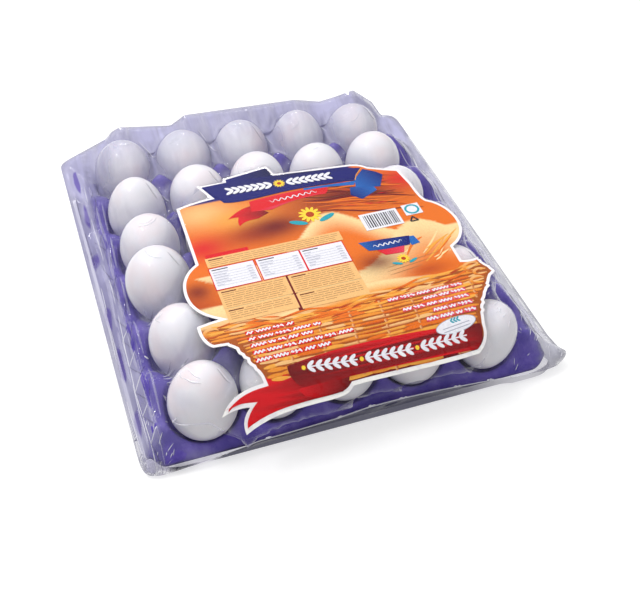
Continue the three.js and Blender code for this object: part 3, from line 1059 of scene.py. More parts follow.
@dataclass
class LabelPrint:
    """The label's plain print: a folded banner, rolling hills, tables, plaited straw and a ribbon."""

    label: CardLabel
    seed: int = 77
    straw_margin: float = 0.9
    # glows and shades: middle, half sizes, ink and strength
    glows: Rows = (
        (-58, 17, 24, 15, Ink.CREAM, 0.95), (-32, 4, 22, 12, Ink.GOLD, 0.9),
        (-66, -20, 18, 12, Ink.SCARLET, 0.95), (-30, -16, 22, 10, Ink.RUST, 0.9),
        (-12, -12, 22, 11, Ink.MAROON, 0.95), (48, 6, 44, 16, Ink.MAROON, 0.96),
        (92, 13, 12, 12, Ink.SCARLET, 0.85))
    shades: Rows = (
        (42, -69, 14, 9, Ink.MAROON, 0.8), (-80, -60, 9, 8, Ink.MAROON, 0.8),
        (72, -86, 15, 6, Ink.RUST, 0.75))
    # hills: foot, middle, half width, rise, light ink, dark ink and how far down the dark one lies
    hills: Rows = (
        (-47, 26, 30, 39, Ink.PALE, Ink.ORANGE, 27), (-66, -96, 30, 26, Ink.ORANGE, Ink.RUST, 40),
        (-76, 82, 33, 42, Ink.PALE, Ink.ORANGE, 48), (-98, 30, 52, 12, Ink.PALE, Ink.AMBER, 12))
    brim: tuple[Place, ...] = ((-90, -97), (-62, -98), (-34, -101.5), (3, -104), (47, -99), (80, -97),
                               (112, -91))
    straw_inks: tuple[Ink, ...] = (Ink.GOLD, Ink.AMBER, Ink.ORANGE, Ink.CREAM, Ink.GOLD, Ink.AMBER)
    loose_inks: tuple[Ink, ...] = (Ink.RUST, Ink.SCARLET, Ink.UMBER, Ink.MAROON, Ink.ORANGE)
    loose_straws: int = 46
    stalks: int = 14
    strand_rows: int = 19
    strand_pitch: float = 2.75
    strand_top: float = -100.6
    stakes: int = 8
    braid_lanes: int = 6
    # curled ends of straw: place and size
    curls: Rows = ((101, -93, 5.5), (104, -99, 4.0), (99, -106, 4.5), (-81, -99, 4.5))
    # panels and tables: left, bottom, right and top
    panels: Rows = (
        (-68, -40, 28, -30.6), (-68, -80.4, -21.6, -63.4), (-68, -94, -21.6, -81.2),
        (-20.2, -80.4, 26, -63.4), (-20.2, -96, 26, -81.2))
    panel_rule: float = 1.9
    tables: tuple[float, ...] = (-68.5, -36.3, -4.9)
    table_width: float = 31.4
    table_rule: float = 2.5
    # rows of waves: where they start, which way they run, their lengths and the ink under them
    verses: Rows = (
        (-61, 1, (31, 51, 40, 67, 48), Ink.SCARLET), (86.5, -1, (52, 30, 46, 28, 34), Ink.ROSE))
    verse_pitch: float = 5.5
    wave_length: float = 2.4

    def motifs(self) -> list[Motif]:
        """Prints the label.

        Returns:
            Every printed shape, from the ground up.
        """
        outline = self.label.outline()
        self.face = inset(outline, self.label.margin + self.straw_margin)
        self.shapes = [Motif(inset(outline, self.label.margin), self._paint, 1)]
        for piece in (self._loose_straw, self._weave, self._panels, self._banner, self._small_ribbon,
                      self._marks, self._verses, self._ribbon):
            piece()
        return self.shapes

    def _add(self, level: int, tint: Tint | Ink, outline: Line) -> None:
        """Prints one shape."""
        self.shapes.append(Motif(list(outline), tint, level))

    def _line(self, level: int, tint: Tint | Ink, line: Line, width: float) -> None:
        """Prints a tapering line, as far as it stays on the printed face.

        Args:
            level: how many inks lie under it.
            tint: its colour.
            line: the line's points.
            width: its full width.
        """
        kept = [place for place, on in zip(line, within(self.face, *np.array(line).T)) if on]
        if len(kept) > 3:
            self._add(level, tint, stroke(kept, width, taper=True))

    # The painted ground

    @staticmethod
    def _over(colour: Points, ink: Points, share: Points) -> Points:
        """Lays an ink over a colour by a share at each place."""
        return colour * (1 - share[:, None]) + ink * share[:, None]

    def _spots(self, colour: Points, x: Points, y: Points, spots: Sequence[tuple[Any, ...]]) -> Points:
        """Lays soft spots of ink over a colour.

        Args:
            colour: the colour so far.
            x, y: places across and along.
            spots: middle, half sizes, ink and strength of each.

        Returns:
            The new colour.
        """
        for at_x, at_y, wide, high, ink, strength in spots:
            share = strength * np.exp(-((x - at_x) / wide) ** 2 - ((y - at_y) / high) ** 2)
            colour = self._over(colour, ink.rgb(), share)
        return colour

    def _paint(self, x: Points, y: Points) -> Points:
        """Paints a glowing sky, hills one before the other, and plain ink under the straw and the ribbons.

        Args:
            x, y: places across and along.

        Returns:
            The linear colour of each place.
        """
        colour = self._spots(np.tile(Ink.ORANGE.rgb(), (len(x), 1)), x, y, self.glows)
        for base, middle, width, rise, light, dark, depth in self.hills:
            top = base + rise * np.exp(-((x - middle) / width) ** 2)
            deep = smooth(top - y, 0, depth)[:, None]
            hill = light.rgb() * (1 - deep) + dark.rgb() * deep
            colour = self._over(colour, hill, smooth(top - y, -0.5, 1.2))
        colour = self._spots(colour, x, y, self.shades)
        brim = np.interp(x, *zip(*self.brim))
        for share, ink in ((smooth(brim + 3 - y, -0.5, 0.5), Ink.STRAW), (smooth(-y, 145, 146), Ink.MAROON),
                           (smooth(-y, 138, 140) * smooth(-x, 42, 48), Ink.SCARLET),
                           (smooth(y, 27, 29) * smooth(-x, -64, -60), Ink.NAVY)):
            colour = self._over(colour, ink.rgb(), share)
        return colour

    # Straw

    def _loose_straw(self) -> None:
        """Dark waving straw behind the hills and pale stalks on the right."""
        draw = Draw(self.seed)
        for at in range(self.loose_straws):
            left, right = draw.between(10, 50), draw.between(62, 96)
            height, phase = draw.between(-7, 31), draw.between(0, 6.28)
            rise = draw.between(-0.3, -0.05)
            ink = draw.pick(self.loose_inks)
            line = [(x, min(height + rise * (x - left) + 1.4 * sin(x / 9 + phase),
                            30 - 0.42 * max(x - 60, 0))) for x in np.linspace(left, right, 16)]
            self._line(2 + at % 3, ink, line, draw.between(0.7, 1.8))
        for at in range(self.stalks):
            start, size = (draw.between(62, 88), draw.between(-80, -64)), draw.between(16, 30)
            turn, bend = radians(draw.between(24, 48)), draw.between(-3, 3)
            line = [(start[0] + s * size * cos(turn), start[1] + s * size * sin(turn)
                     + bend * sin(pi * s)) for s in np.linspace(0, 1, 12)]
            self._line(2 + at % 3, (Ink.PALE, Ink.ORANGE, Ink.GOLD)[at % 3], line, draw.between(0.7, 2.0))

    def _weave(self) -> None:
        """Plaited straw across the front: strands in rows, upright stakes, a braided brim and curled ends."""
        draw = Draw(self.seed + 1)
        for row in range(self.strand_rows):
            self._strands(draw, row)
        for at in range(self.stakes):
            for row in range(1, self.strand_rows - 6):
                y = self.strand_top - (row * 1.5 + 0.75 * (at % 2)) * self.strand_pitch
                x = -58 + at * 21.5 + 0.12 * (y + 110)
                if within(self.face, x + np.array([-1.5, 1.5]), np.array([y, y])).all():
                    tint = fade((x - 1, y), (x + 1, y), Ink.CREAM, Ink.RUST)
                    self._add(5, tint, oval(x, y, 1.1, 1.5, 4, 8))
        for lane in range(self.braid_lanes):
            self._braid(draw, lane)
        for x, y, size in self.curls:
            ring = [(x + size * 1.1 * cos(t), y + size * 0.8 * sin(t))
                    for t in np.linspace(0.4, 5.6, 18)]
            self._line(9, fade((x, y + size), (x, y - size), Ink.CREAM, Ink.AMBER, Ink.RUST), ring, 2.2)

    def _strands(self, draw: Draw, row: int) -> None:
        """One row of long strands laid end over end.

        Args:
            draw: the weave's draw.
            row: which row, from the top.
        """
        x = -86.0 if row < 3 else -68.0
        while x < 108:
            end = x + draw.between(13, 26)
            sag, drop = draw.between(-0.9, 0.9), self.strand_top - row * self.strand_pitch
            line = [(x + s * (end - x), drop + sag * sin(pi * s)
                     + 0.7 * sin((x + s * (end - x)) / 17 + row * 0.4)) for s in np.linspace(0, 1, 9)]
            ink = draw.pick(self.straw_inks)
            self._line(3 + row % 2, fade((x, drop + 1.2), (x, drop - 1.8), ink, ink, Ink.RUST), line, 2.5)
            x = end - 2.5

    def _braid(self, draw: Draw, lane: int) -> None:
        """One lane of the braided brim.

        Args:
            draw: the weave's draw.
            lane: which lane, from the lowest.
        """
        x = -92.0 + 3 * lane
        while x < 112:
            end = x + draw.between(16, 30)
            line = [(px, float(np.interp(px, *zip(*self.brim))) + 1.5 * (lane - 2.5)
                     + 1.8 * sin(px / 6.5 + 2.1 * lane)) for px in np.linspace(x, end, 14)]
            ink = draw.pick(self.straw_inks)
            mid_x, mid_y = line[7]
            tint = fade((mid_x, mid_y + 2), (mid_x, mid_y - 2.4), ink, ink, Ink.RUST)
            self._line(6 + lane % 3, tint, line, 2.0)
            x = end - 4

    # Panels and tables

    def _panels(self) -> None:
        """Cream panels of plain rules, and white tables with red frames."""
        draw = Draw(self.seed + 2)
        self._add(8, Ink.SCARLET, slab(-67, -31, -37, -26.8))
        self._add(8, Ink.MAROON, slab(-23, -96.8, -19, -63.2))
        for panel in self.panels:
            self._ruled_panel(draw, *panel)
        for left in self.tables:
            self._table(draw, left)

    def _ruled_panel(self, draw: Draw, left: float, bottom: float, right: float, top: float) -> None:
        """A cream panel with rows of short brown rules, the first of them bold.

        Args:
            draw: the panels' draw.
            left, bottom, right, top: its edges.
        """
        self._add(9, Ink.CREAM, slab(left, bottom, right, top))
        rules = int((top - bottom - 1.6) / self.panel_rule)
        for rule in range(rules):
            x, y = left + 2.0, top - 2.0 - rule * self.panel_rule
            end = right - 2.0 - draw.between(0, 20 if rule == rules - 1 else 2)
            if rule == 0:
                self._add(10, Ink.UMBER, slab(x, y - 0.5, x + 10, y + 0.5))
                x += 11.5
            while x < end - 1.5:
                dash = min(draw.between(2.5, 9), end - x)
                self._add(10, Ink.BROWN, slab(x, y - 0.26, x + dash, y + 0.26))
                x += dash + 0.8

    def _table(self, draw: Draw, left: float) -> None:
        """A white table with a red frame and grey rules.

        Args:
            draw: the panels' draw.
            left: its left edge.
        """
        right = left + self.table_width
        self._add(10, Ink.SCARLET, slab(left, -62.8, right, -40.8))
        self._add(11, Ink.WHITE, slab(left + 0.6, -62.2, right - 0.6, -41.4))
        self._add(12, Ink.BLACK, slab(left + 2, -43.6, left + 13, -42.7))
        for rule in range(6):
            y = -46.6 - rule * self.table_rule
            self._add(12, Ink.GREY, slab(left + 2, y - 0.12, right - 2, y + 0.12))
            self._add(12, Ink.GREY, slab(left + 2, y + 0.7, left + 6 + draw.between(0, 7), y + 1.25))
            self._add(12, Ink.GREY, slab(right - 6, y + 0.7, right - 2.5, y + 1.25))

    # Sprigs and flowers

    def _sprig(self, level: int, ink: Ink, line: Line, size: float, lean: float = 34.0) -> None:
        """Prints pairs of slim leaves along a line, like an ear of wheat.

        Args:
            level: how many inks lie under them.
            ink: the leaves' colour.
            line: where each pair starts, and the tip.
            size: half length of a leaf.
            lean: angle of a leaf from the line, in degrees.
        """
        for (ax, ay), (bx, by) in zip(line, line[1:]):
            way = degrees(atan2(by - ay, bx - ax))
            for turn in (way - lean, way + lean):
                x, y = ax + size * cos(radians(turn)), ay + size * sin(radians(turn))
                self._add(level, ink, oval(x, y, size, 0.4 * size, turn))

    def _flower(self, level: int, x: float, y: float, size: float, leaves: bool = True) -> None:
        """Prints a small sunflower, with or without two teal leaves.

        Args:
            level: how many inks lie under it.
            x, y: its middle.
            size: its radius.
            leaves: whether it has the leaves.
        """
        for side in (-1, 1) if leaves else ():
            leaf = oval(x + side * 1.25 * size, y - 0.75 * size, 0.8 * size, 0.26 * size, side * 24)
            self._add(level, Ink.TEAL, leaf)
        for turn in range(0, 360, 30):
            way = radians(turn)
            petal = oval(x + 0.62 * size * cos(way), y + 0.62 * size * sin(way),
                         0.38 * size, 0.15 * size, turn, 10)
            self._add(level + 1, Ink.SUN, petal)
        self._add(level + 2, Ink.RUST, oval(x, y, 0.36 * size, 0.36 * size))

    # Banner, ribbons and marks

    def _banner(self) -> None:
        """A folded navy banner along the slanted back edge, set with two white ears of wheat."""
        self._add(8, fade((52, 0), (66, 10), Ink.NAVY, Ink.BLUE),
                  [(53, 13.5), (50.5, 5), (57, -2), (71, 5), (70, 12)])
        self._add(9, fade((58, 12), (82, 22), Ink.BLUE, Ink.NAVY),
                  [(57.3, 12.5), (75, 8), (82, 21), (78, 26), (70, 32), (60, 22)])
        self._add(9, Ink.BLUE, [(20, 23), (60, 20), (57, 15.5), (40, 19), (20, 20.6)])
        self._add(9, fade((-30, 48), (2, 50), Ink.NAVY, Ink.INDIGO),
                  [(-31, 46), (-31, 49.4), (1.4, 54.6), (3.6, 43)])
        body = trace((-50.5, 46.4), ((-45, 37), (-42, 30), (-39.5, 24.2)),
                     ((-30, 20.5), (-12, 22.5), (4, 23.6)), ((24, 24), (40, 22.5), (59.8, 20.8)),
                     ((62, 25), (65, 29), (69.5, 33.6)),
                     ((50, 40), (20, 43), (3.2, 44.4), 10), (-32.9, 46.8))
        self._add(10, fade((-52, 46), (66, 24), Ink.NAVY, Ink.NAVY, Ink.INDIGO, Ink.NAVY), body)
        self._add(11, Ink.GOLD, stroke([(60, 21), (63, 26.5), (69, 33)], 0.6))
        for side in (-1, 1):
            for level, ink, shift in ((11, Ink.INDIGO, 0.8), (12, Ink.WHITE, 0.0)):
                spots = [5 + side * (5.4 + 4.8 * at) for at in range(8)]
                self._sprig(level, ink, [(x + shift, 34 - 0.06 * (x - 5) - shift) for x in spots], 3.5)
        self._flower(13, 5, 33.8, 4.6, leaves=False)

    def _small_ribbon(self) -> None:
        """A small red ribbon with a swallow tail under the banner."""
        tail = trace((-21, 15), ((-30, 15), (-36, 10), (-41.7, 5.4)), ((-38, 6), (-36, 6), (-34.1, 5.2), 3),
                     ((-36, 1), (-36.5, -2), (-35.7, -4.4), 3), ((-32, 0), (-27, 0), (-21, 0), 5), (-12, 4))
        body = trace((-22, 20), ((-4, 22.6), (18, 22), (37, 21)), ((38, 17), (36, 14), (33.5, 12.1), 4),
                     ((14, 14), (0, 10), (-9, 6.5)), (-23.5, 8.5))
        self._add(6, fade((-40, 0), (-14, 8), Ink.SCARLET, Ink.SCARLET, Ink.MAROON), tail)
        self._add(7, fade((-24, 16), (36, 16), Ink.SCARLET, Ink.ROSE, Ink.SCARLET), body)
        wave = [(x, 15.8 + 0.04 * x + 1.3 * sin(x / 0.75)) for x in np.linspace(-8, 28, 150)]
        self._add(12, Ink.WHITE, stroke(wave, 0.8, taper=True))
        self._flower(7, 15, -7, 8.5)

    def _marks(self) -> None:
        """Small plain marks: a striped patch, a ring, a triangle, a little folded band and an oval seal."""
        self._striped_patch()
        self._ring_and_triangle()
        self._small_band()
        self._flower(9, 60, -71, 4.6)
        for block in range(3):
            line = [(x, -77 - block * 3.6 + 0.12 * (x - 40)) for x in np.linspace(45, 86 - 8 * block, 12)]
            self._add(7, Ink.BROWN, stroke(line, 0.4, taper=True))
        self._seal()

    def _striped_patch(self) -> None:
        """A white patch of upright black bars."""
        draw = Draw(self.seed + 3)
        self._add(8, Ink.WHITE, slab(47, -36.5, 75.5, -18.7))
        x = 49.5
        while x < 73:
            bar = draw.between(0.35, 1.3)
            self._add(9, Ink.BLACK, slab(x, -34.5, x + bar, -20.7))
            x += bar + draw.between(0.5, 1.2)

    def _ring_and_triangle(self) -> None:
        """A teal ring on a white patch, and a small black triangle in front of it."""
        self._add(8, Ink.WHITE, slab(80, -29.5, 93, -17.8))
        ring = oval(86.5, -23.6, 4.7, 4.5, 0, 28)
        self._add(9, Ink.TEAL, stroke(ring + ring[:1], 1.6))
        turns = [radians(turn) for turn in (90, 210, 330)]
        corners = [(83.4 + 3.4 * cos(turn), -34.6 + 3.2 * sin(turn)) for turn in turns]
        for a, b in zip(corners, corners[1:] + corners[:1]):
            self._add(9, Ink.BLACK, stroke([a, ((a[0] + b[0]) / 2, (a[1] + b[1]) / 2), b], 1.2))

    def _small_band(self) -> None:
        """A little folded blue band with a white wave on it and a red flap under it."""
        self._add(8, Ink.BLUE, [(70, -50.5), (76, -51), (77.5, -59), (71, -60)])
        self._add(9, fade((36, -50), (72, -50), Ink.BLUE, Ink.NAVY, Ink.NAVY),
                  [(36.5, -46.8), (54, -48), (73, -50), (70, -59), (52, -58.5), (40.5, -56.5)])
        self._add(8, fade((46, -60), (66, -60), Ink.SCARLET, Ink.ROSE),
                  [(46, -58), (66, -58.5), (63, -65), (50, -64)])
        wave = [(x, -53.4 + 1.1 * sin(x / 0.6)) for x in np.linspace(45, 66, 90)]
        self._add(10, Ink.WHITE, stroke(wave, 0.8, taper=True))

    def _seal(self) -> None:
        """An oval white seal with a grey edge, two grey rules and a teal sprig."""
        self._add(14, Ink.GREY, oval(69.5, -135.2, 14.4, 4.9, 5, 30))
        self._add(15, Ink.WHITE, oval(69.5, -135.2, 13.9, 4.5, 5, 30))
        for foot in (-137.6, -135.6):
            self._add(16, Ink.GREY, stroke([(x, foot + 0.09 * (x - 70)) for x in (60, 70, 79)], 0.5))
        self._sprig(16, Ink.TEAL, [(66.5 + 2.2 * at, -132.6 + 0.2 * at) for at in range(4)], 1.4)

    def _verses(self) -> None:
        """Rows of plain white waves on red bars over the plaited straw."""
        draw = Draw(self.seed + 4)
        for start, way, lengths, shadow in self.verses:
            for row, length in enumerate(lengths):
                x, y = 0.0, -105.6 - row * self.verse_pitch
                while x < length - 3:
                    span = min(self.wave_length * round(draw.between(2, 4.6)), length - x)
                    left, right = sorted((start + way * x, start + way * (x + span)))
                    self._add(10, shadow, slab(left - 0.5, y - 1.7, right + 0.5, y + 1.5))
                    wave = [(px, y + 0.85 * sin(2 * pi * px / self.wave_length))
                            for px in np.arange(left, right, 0.3)]
                    self._add(11, Ink.WHITE, stroke(wave, 0.95))
                    x += span + 1.6

    def _ribbon(self) -> None:
        """The red ribbon along the front, folded to a swallow tail at its left, with three white sprigs."""
        tail = trace((-58.5, -143.8), ((-70, -143.5), (-78, -145.5), (-85.8, -150.2)),
                     ((-80, -148.6), (-72, -148), (-65.5, -148.8), 6),
                     ((-72, -152), (-76, -156), (-76.6, -160), 6),
                     ((-70, -156.5), (-63, -155.6), (-52, -154.9), 6),
                     (-20, -154.6), (-16, -145), (-30, -140))
        body = trace((-44, -135.4), ((-10, -130), (50, -133), (85.6, -138), 16),
                     ((86, -144), (83, -148), (78.6, -151), 5),
                     ((40, -149.4), (0, -148.6), (-38, -148.4), 14),
                     ((-42, -146), (-45, -141), (-44, -135.4), 6))[:-1]
        roll = [(-41, -149), (-38, -152.4), (-30, -154.8), (-14, -154.6), (-9.5, -152), (-7.6, -148),
                (-30, -146)]
        self._add(12, fade((-60, -150), (-34, -151), Ink.SCARLET, Ink.SCARLET, Ink.MAROON), tail)
        self._add(13, fade((-40, -150), (-8, -152), Ink.SCARLET, Ink.MAROON, Ink.MAROON), roll)
        self._add(14, fade((-44, -146), (86, -146), Ink.MAROON, *[Ink.SCARLET] * 5, Ink.MAROON), body)
        for left in (-32.0, 5.0, 42.0):
            stem = [(x, -141.4 + 0.0006 * (x - 20) ** 2 - 0.04 * x) for x in np.linspace(left, left + 32, 7)]
            self._add(15, Ink.WHITE, stroke(stem, 0.7))
            self._sprig(16, Ink.WHITE, stem, 2.8)
            self._add(16, Ink.SUN, oval(left - 2.4, stem[0][1], 1.3, 1.3))


# Film


def scatter(x: Points, y: Points, seed: int, octaves: int = 3) -> Points:
    """Smooth seeded noise between about -1 and 1, from turned sine waves of falling size.

    Args:
        x, y: coordinates, in waves.
        seed: which noise.
        octaves: how many sizes of wave.

    Returns:
        The noise at each place.
    """
    draw = Draw(seed * 7919 + 13)
    for _ in range(3):
        draw.between(0, 1)
    total = np.zeros_like(x, dtype=float)
    waves = 5
    for octave in range(octaves):
        size = 2.0 ** octave
        for _ in range(waves):
            turn = draw.between(0, pi)
            length = size * draw.between(0.75, 1.3)
            phase = draw.between(0, 2 * pi)
            bend = draw.between(0.4, 1.1)
            along = x * cos(turn) + y * sin(turn)
            across = y * cos(turn) - x * sin(turn)
            sway = bend * np.sin(2 * pi * size * across * 0.6 + phase * 3)
            total += np.sin(2 * pi * length * along + phase + sway) / size
    return total / (waves * sum(0.5 ** octave for octave in range(octaves))) * 1.8


class Tone(Enum):
    """How a crease in the film shows: its bright lines are painted highlights, its dark lines painted shade
    and its soft ones pale streaks.
    """

    # bright hairline: painted highlight where light catches the fold, with some whitening of the film
    LIGHT = 1
    # dark hairline: painted shade along the fold
    DARK = 2
    SOFT = 3


class Facing(Enum):
    """The way along which a crease is laid on the film."""

    TOP = (0.0, 0.0, -1.0)
    FRONT = (0.0, 1.0, 0.0)
    RIM = (0.0, 0.8, -0.6)


@dataclass
class Crease:
    """A sharp little fold in the film: the line it follows, its width and how it shows.

    The line is in x and y from the top, and in x and z from the front. On the rim it is in x and in
    height above the fold that runs along the front.
    """

    line: Line
    width: float
    tone: Tone = Tone.LIGHT
    facing: Facing = Facing.TOP


@dataclass(frozen=True)
class SideWall:
    """Section of one side of the film, as distances out from the middle and heights.

    The fold's place and height are given at the front and at the back.
    """

    hem: float
    fold: Place
    fold_z: Place
    shoulder: float
    brow: float
    shoulder_z: float = 51.0
    brow_z: float = 61.0
    belly: Place = (1.5, 2.0)

    def section(self, back: Points, hem_z: float) -> tuple[Points, Points]:
        """Distances out and heights from the hem to the brow.

        Args:
            back: 0 at the front of the pack and 1 at its back.
            hem_z: height of the hem.

        Returns:
            Five distances and five heights for each place.
        """
        fold, fold_z = (ends[0] + (ends[1] - ends[0]) * back for ends in (self.fold, self.fold_z))
        belly = (fold + self.shoulder) / 2 + self.belly[0]
        belly_z = (fold_z + self.shoulder_z) / 2 + self.belly[1]
        ones = np.ones_like(back)
        return (np.stack([self.hem * ones, fold, belly, self.shoulder * ones, self.brow * ones]),
                np.stack([hem_z * ones, fold_z, belly_z, self.shoulder_z * ones, self.brow_z * ones]))


@dataclass(frozen=True)
class FrontWall:
    """Section of the film's front, which stands out over the label's drooping edge."""

    out: tuple[float, ...] = (144.7, 147, 147.5, 147, 141)
    out_left: tuple[float, ...] = (1.6, 2.2, 0, 0, 0)
    out_right: tuple[float, ...] = (5.5, 3, 0, 0, 0)
    out_label: tuple[float, ...] = (0, 0, 4.5, 16.5, 1)
    high: tuple[float, ...] = (0, 0, 27, 45, 59)
    high_label: tuple[float, ...] = (0, 0, 0, -1, 3.8)
    rim: tuple[Place, ...] = ((-128, 3), (-94, 7), (-66, 12), (-35, 13), (-15, 14), (8, 17), (31, 17),
                              (56, 15.5), (72, 14), (104, 10.5), (132, 8))

    def edge(self, x: Points) -> Points:
        """Height of the fold that runs along the front."""
        return np.interp(x, *zip(*self.rim))

    def section(self, x: Points, hem_z: float) -> tuple[Points, Points]:
        """Distances out and heights from the hem to the brow.

        Args:
            x: places across the pack.
            hem_z: height of the hem.

        Returns:
            Five distances and five heights for each place.
        """
        label = smooth(x, -114, -96) * smooth(-x, -122, -104)
        left, right = smooth(-x, 100, 126), smooth(x, 104, 132)
        out = np.stack([a + b * left + c * right + d * label for a, b, c, d in
                        zip(self.out, self.out_left, self.out_right, self.out_label)])
        high = np.stack([a + b * label for a, b in zip(self.high, self.high_label)])
        high[0], high[1] = hem_z, self.edge(x)
        return out, high


@dataclass(frozen=True)
class BackWall:
    """Section of the film's back, which stands up to a wavy edge behind the eggs."""

    out: tuple[float, ...] = (147.5, 151, 147, 144, 140)
    out_left: tuple[float, ...] = (0, 1, 0, 0, 0)
    brow: Place = (52, 13)  # height at the corners, and how much it rises between them
    crest: tuple[Place, ...] = ((-142, 36), (-123, 43.5), (-109, 46.5), (-97, 58), (-91, 60.5), (-50, 54),
                                (-38, 61.5), (56, 58), (78, 52), (92, 54), (108, 57.5), (126, 43), (136, 27))

    def edge(self, x: Points) -> Points:
        """Height of the standing edge."""
        return np.interp(x, *zip(*self.crest))

    def section(self, x: Points, hem_z: float) -> tuple[Points, Points]:
        """Distances out and heights from the hem to the brow.

        Args:
            x: places across the pack.
            hem_z: height of the hem.

        Returns:
            Five distances and five heights for each place.
        """
        left, edge = smooth(-x, 110, 140), self.edge(x)
        brow = self.brow[0] + self.brow[1] * smooth(-np.abs(x), -145, -100)
        out = np.stack([a + b * left for a, b in zip(self.out, self.out_left)])
        high = np.stack([hem_z * np.ones_like(x), edge, edge * 0.7 + brow * 0.3, edge * 0.4 + brow * 0.6,
                         brow])
        return out, high


@dataclass(frozen=True)
class PolyolefinFilm:
    """Heat-shrunk polyolefin film: glassy where it is taut on something, milky where it is slack."""

    milk: str = "#AEACCA"
    milk_grey: str = "#BFBFCB"
    # painted shade: dark slate for the film below its front fold, where the tray's side lies in shadow behind
    # it
    painted_shade: str = "#3E3D58"
    contact: str = "#7468AE"
    roughness: float = 0.05
    sheen: float = 0.012
    streak_mm: float = 9.0
    ripple_mm: float = 4.0
    # folds: colour and how much of what lies behind it each one hides
    # the bright folds' colour is painted highlight and the dark folds' painted shade
    folds: Rows = (
        (Tone.LIGHT, "#F4F4FB", 0.62), (Tone.DARK, "#45415F", 0.36), (Tone.SOFT, "#DEDCF2", 0.26))

    def film(self) -> Material:
        """Clear film whose haze, tint, dark contact marks and painted shade under its front fold come from
        the mesh.

        Returns:
            The finish.
        """
        material, tree, output = new_material("shrink_film")
        place = add_node(tree, "TexCoord").outputs["Object"]
        haze, patch, grey, painted_skirt_shade = (add_node(tree, "Attribute", attribute_name=name).outputs["Fac"]
                                    for name in ("haze", "patch", "grey", "painted_skirt_shade"))
        pull = add_node(tree, "Mapping", {"Vector": place, "Scale": (1.0, 0.16, 0.3),
                                          "Rotation": (0, 0, 0.1)})
        streak = add_node(tree, "TexNoise", {
            "Vector": pull.outputs[0], "Scale": 1 / (self.streak_mm * MM), "Detail": 3.0, "Roughness": 0.55,
            "Distortion": 0.5})
        swing = add_node(tree, "MapRange", {"Value": streak.outputs["Fac"], "From Min": 0.3, "From Max": 0.7,
                                            "To Min": 0.68, "To Max": 1.25})
        milky = add_node(tree, "Math", {0: haze, 1: swing.outputs[0]}, operation="MULTIPLY", use_clamp=True)
        contact = add_node(tree, "MapRange", {"Value": patch, "From Min": -0.1, "From Max": 0.25})
        tint = add_node(tree, "Mix", {0: grey, 6: linear(self.milk), 7: linear(self.milk_grey)},
                        data_type="RGBA")
        tint = add_node(tree, "Mix", {0: contact.outputs[0], 6: tint.outputs[2], 7: linear(self.contact)},
                        data_type="RGBA")
        fine = add_node(tree, "TexNoise", {"Vector": pull.outputs[0], "Scale": 1 / (self.ripple_mm * MM),
                                           "Detail": 2.0, "Distortion": 0.8})
        bump = add_node(tree, "Bump", {"Height": fine.outputs["Fac"], "Strength": 0.1, "Distance": 0.8 * MM})
        clear = add_node(tree, "BsdfTransparent", {"Color": linear("#FBFAFD")})
        milk = add_node(tree, "BsdfDiffuse", {"Color": tint.outputs[2]})
        milked = add_node(tree, "MixShader", {0: milky.outputs[0], 1: clear.outputs[0], 2: milk.outputs[0]})
        # painted shade: the film turns dark slate below its front fold and low at the front left corner
        shade = add_node(tree, "Math", {0: painted_skirt_shade, 1: 0.88}, operation="MULTIPLY")
        painted_shade = add_node(tree, "BsdfDiffuse", {"Color": linear(self.painted_shade)})
        body = add_node(tree, "MixShader", {0: shade.outputs[0], 1: milked.outputs[0], 2: painted_shade.outputs[0]})
        gloss = add_node(tree, "BsdfGlossy", {"Color": linear("#FFFFFF"), "Roughness": self.roughness,
                                              "Normal": bump.outputs[0]})
        facing = add_node(tree, "LayerWeight", {"Blend": 0.5, "Normal": bump.outputs[0]}).outputs["Facing"]
        rim = add_node(tree, "Math", {0: facing, 1: 4.0}, operation="POWER")
        shine = add_node(tree, "Math", {0: rim.outputs[0], 1: 0.5, 2: self.sheen}, operation="MULTIPLY_ADD")
        surface = add_node(tree, "MixShader", {0: shine.outputs[0], 1: body.outputs[0], 2: gloss.outputs[0]})
        tree.links.new(surface.outputs[0], output.inputs["Surface"])
        return material

    def creases(self) -> list[Material]:
        """Folds in the film: bright hairlines of painted highlight, dark hairlines of painted shade and soft
        broad streaks, each still see-through.

        Returns:
            One finish for each tone.
        """
        found = []
        for tone, colour, share in self.folds:
            material, tree, output = new_material(f"film_crease_{tone.name.lower()}")
            clear = add_node(tree, "BsdfTransparent", {"Color": linear("#FFFFFF")})
            fold = add_node(tree, "BsdfPrincipled", {"Base Color": linear(colour), "Roughness": 0.25})
            body = add_node(tree, "MixShader", {0: share, 1: clear.outputs[0], 2: fold.outputs[0]})
            tree.links.new(body.outputs[0], output.inputs["Surface"])
            found.append(material)
        return found


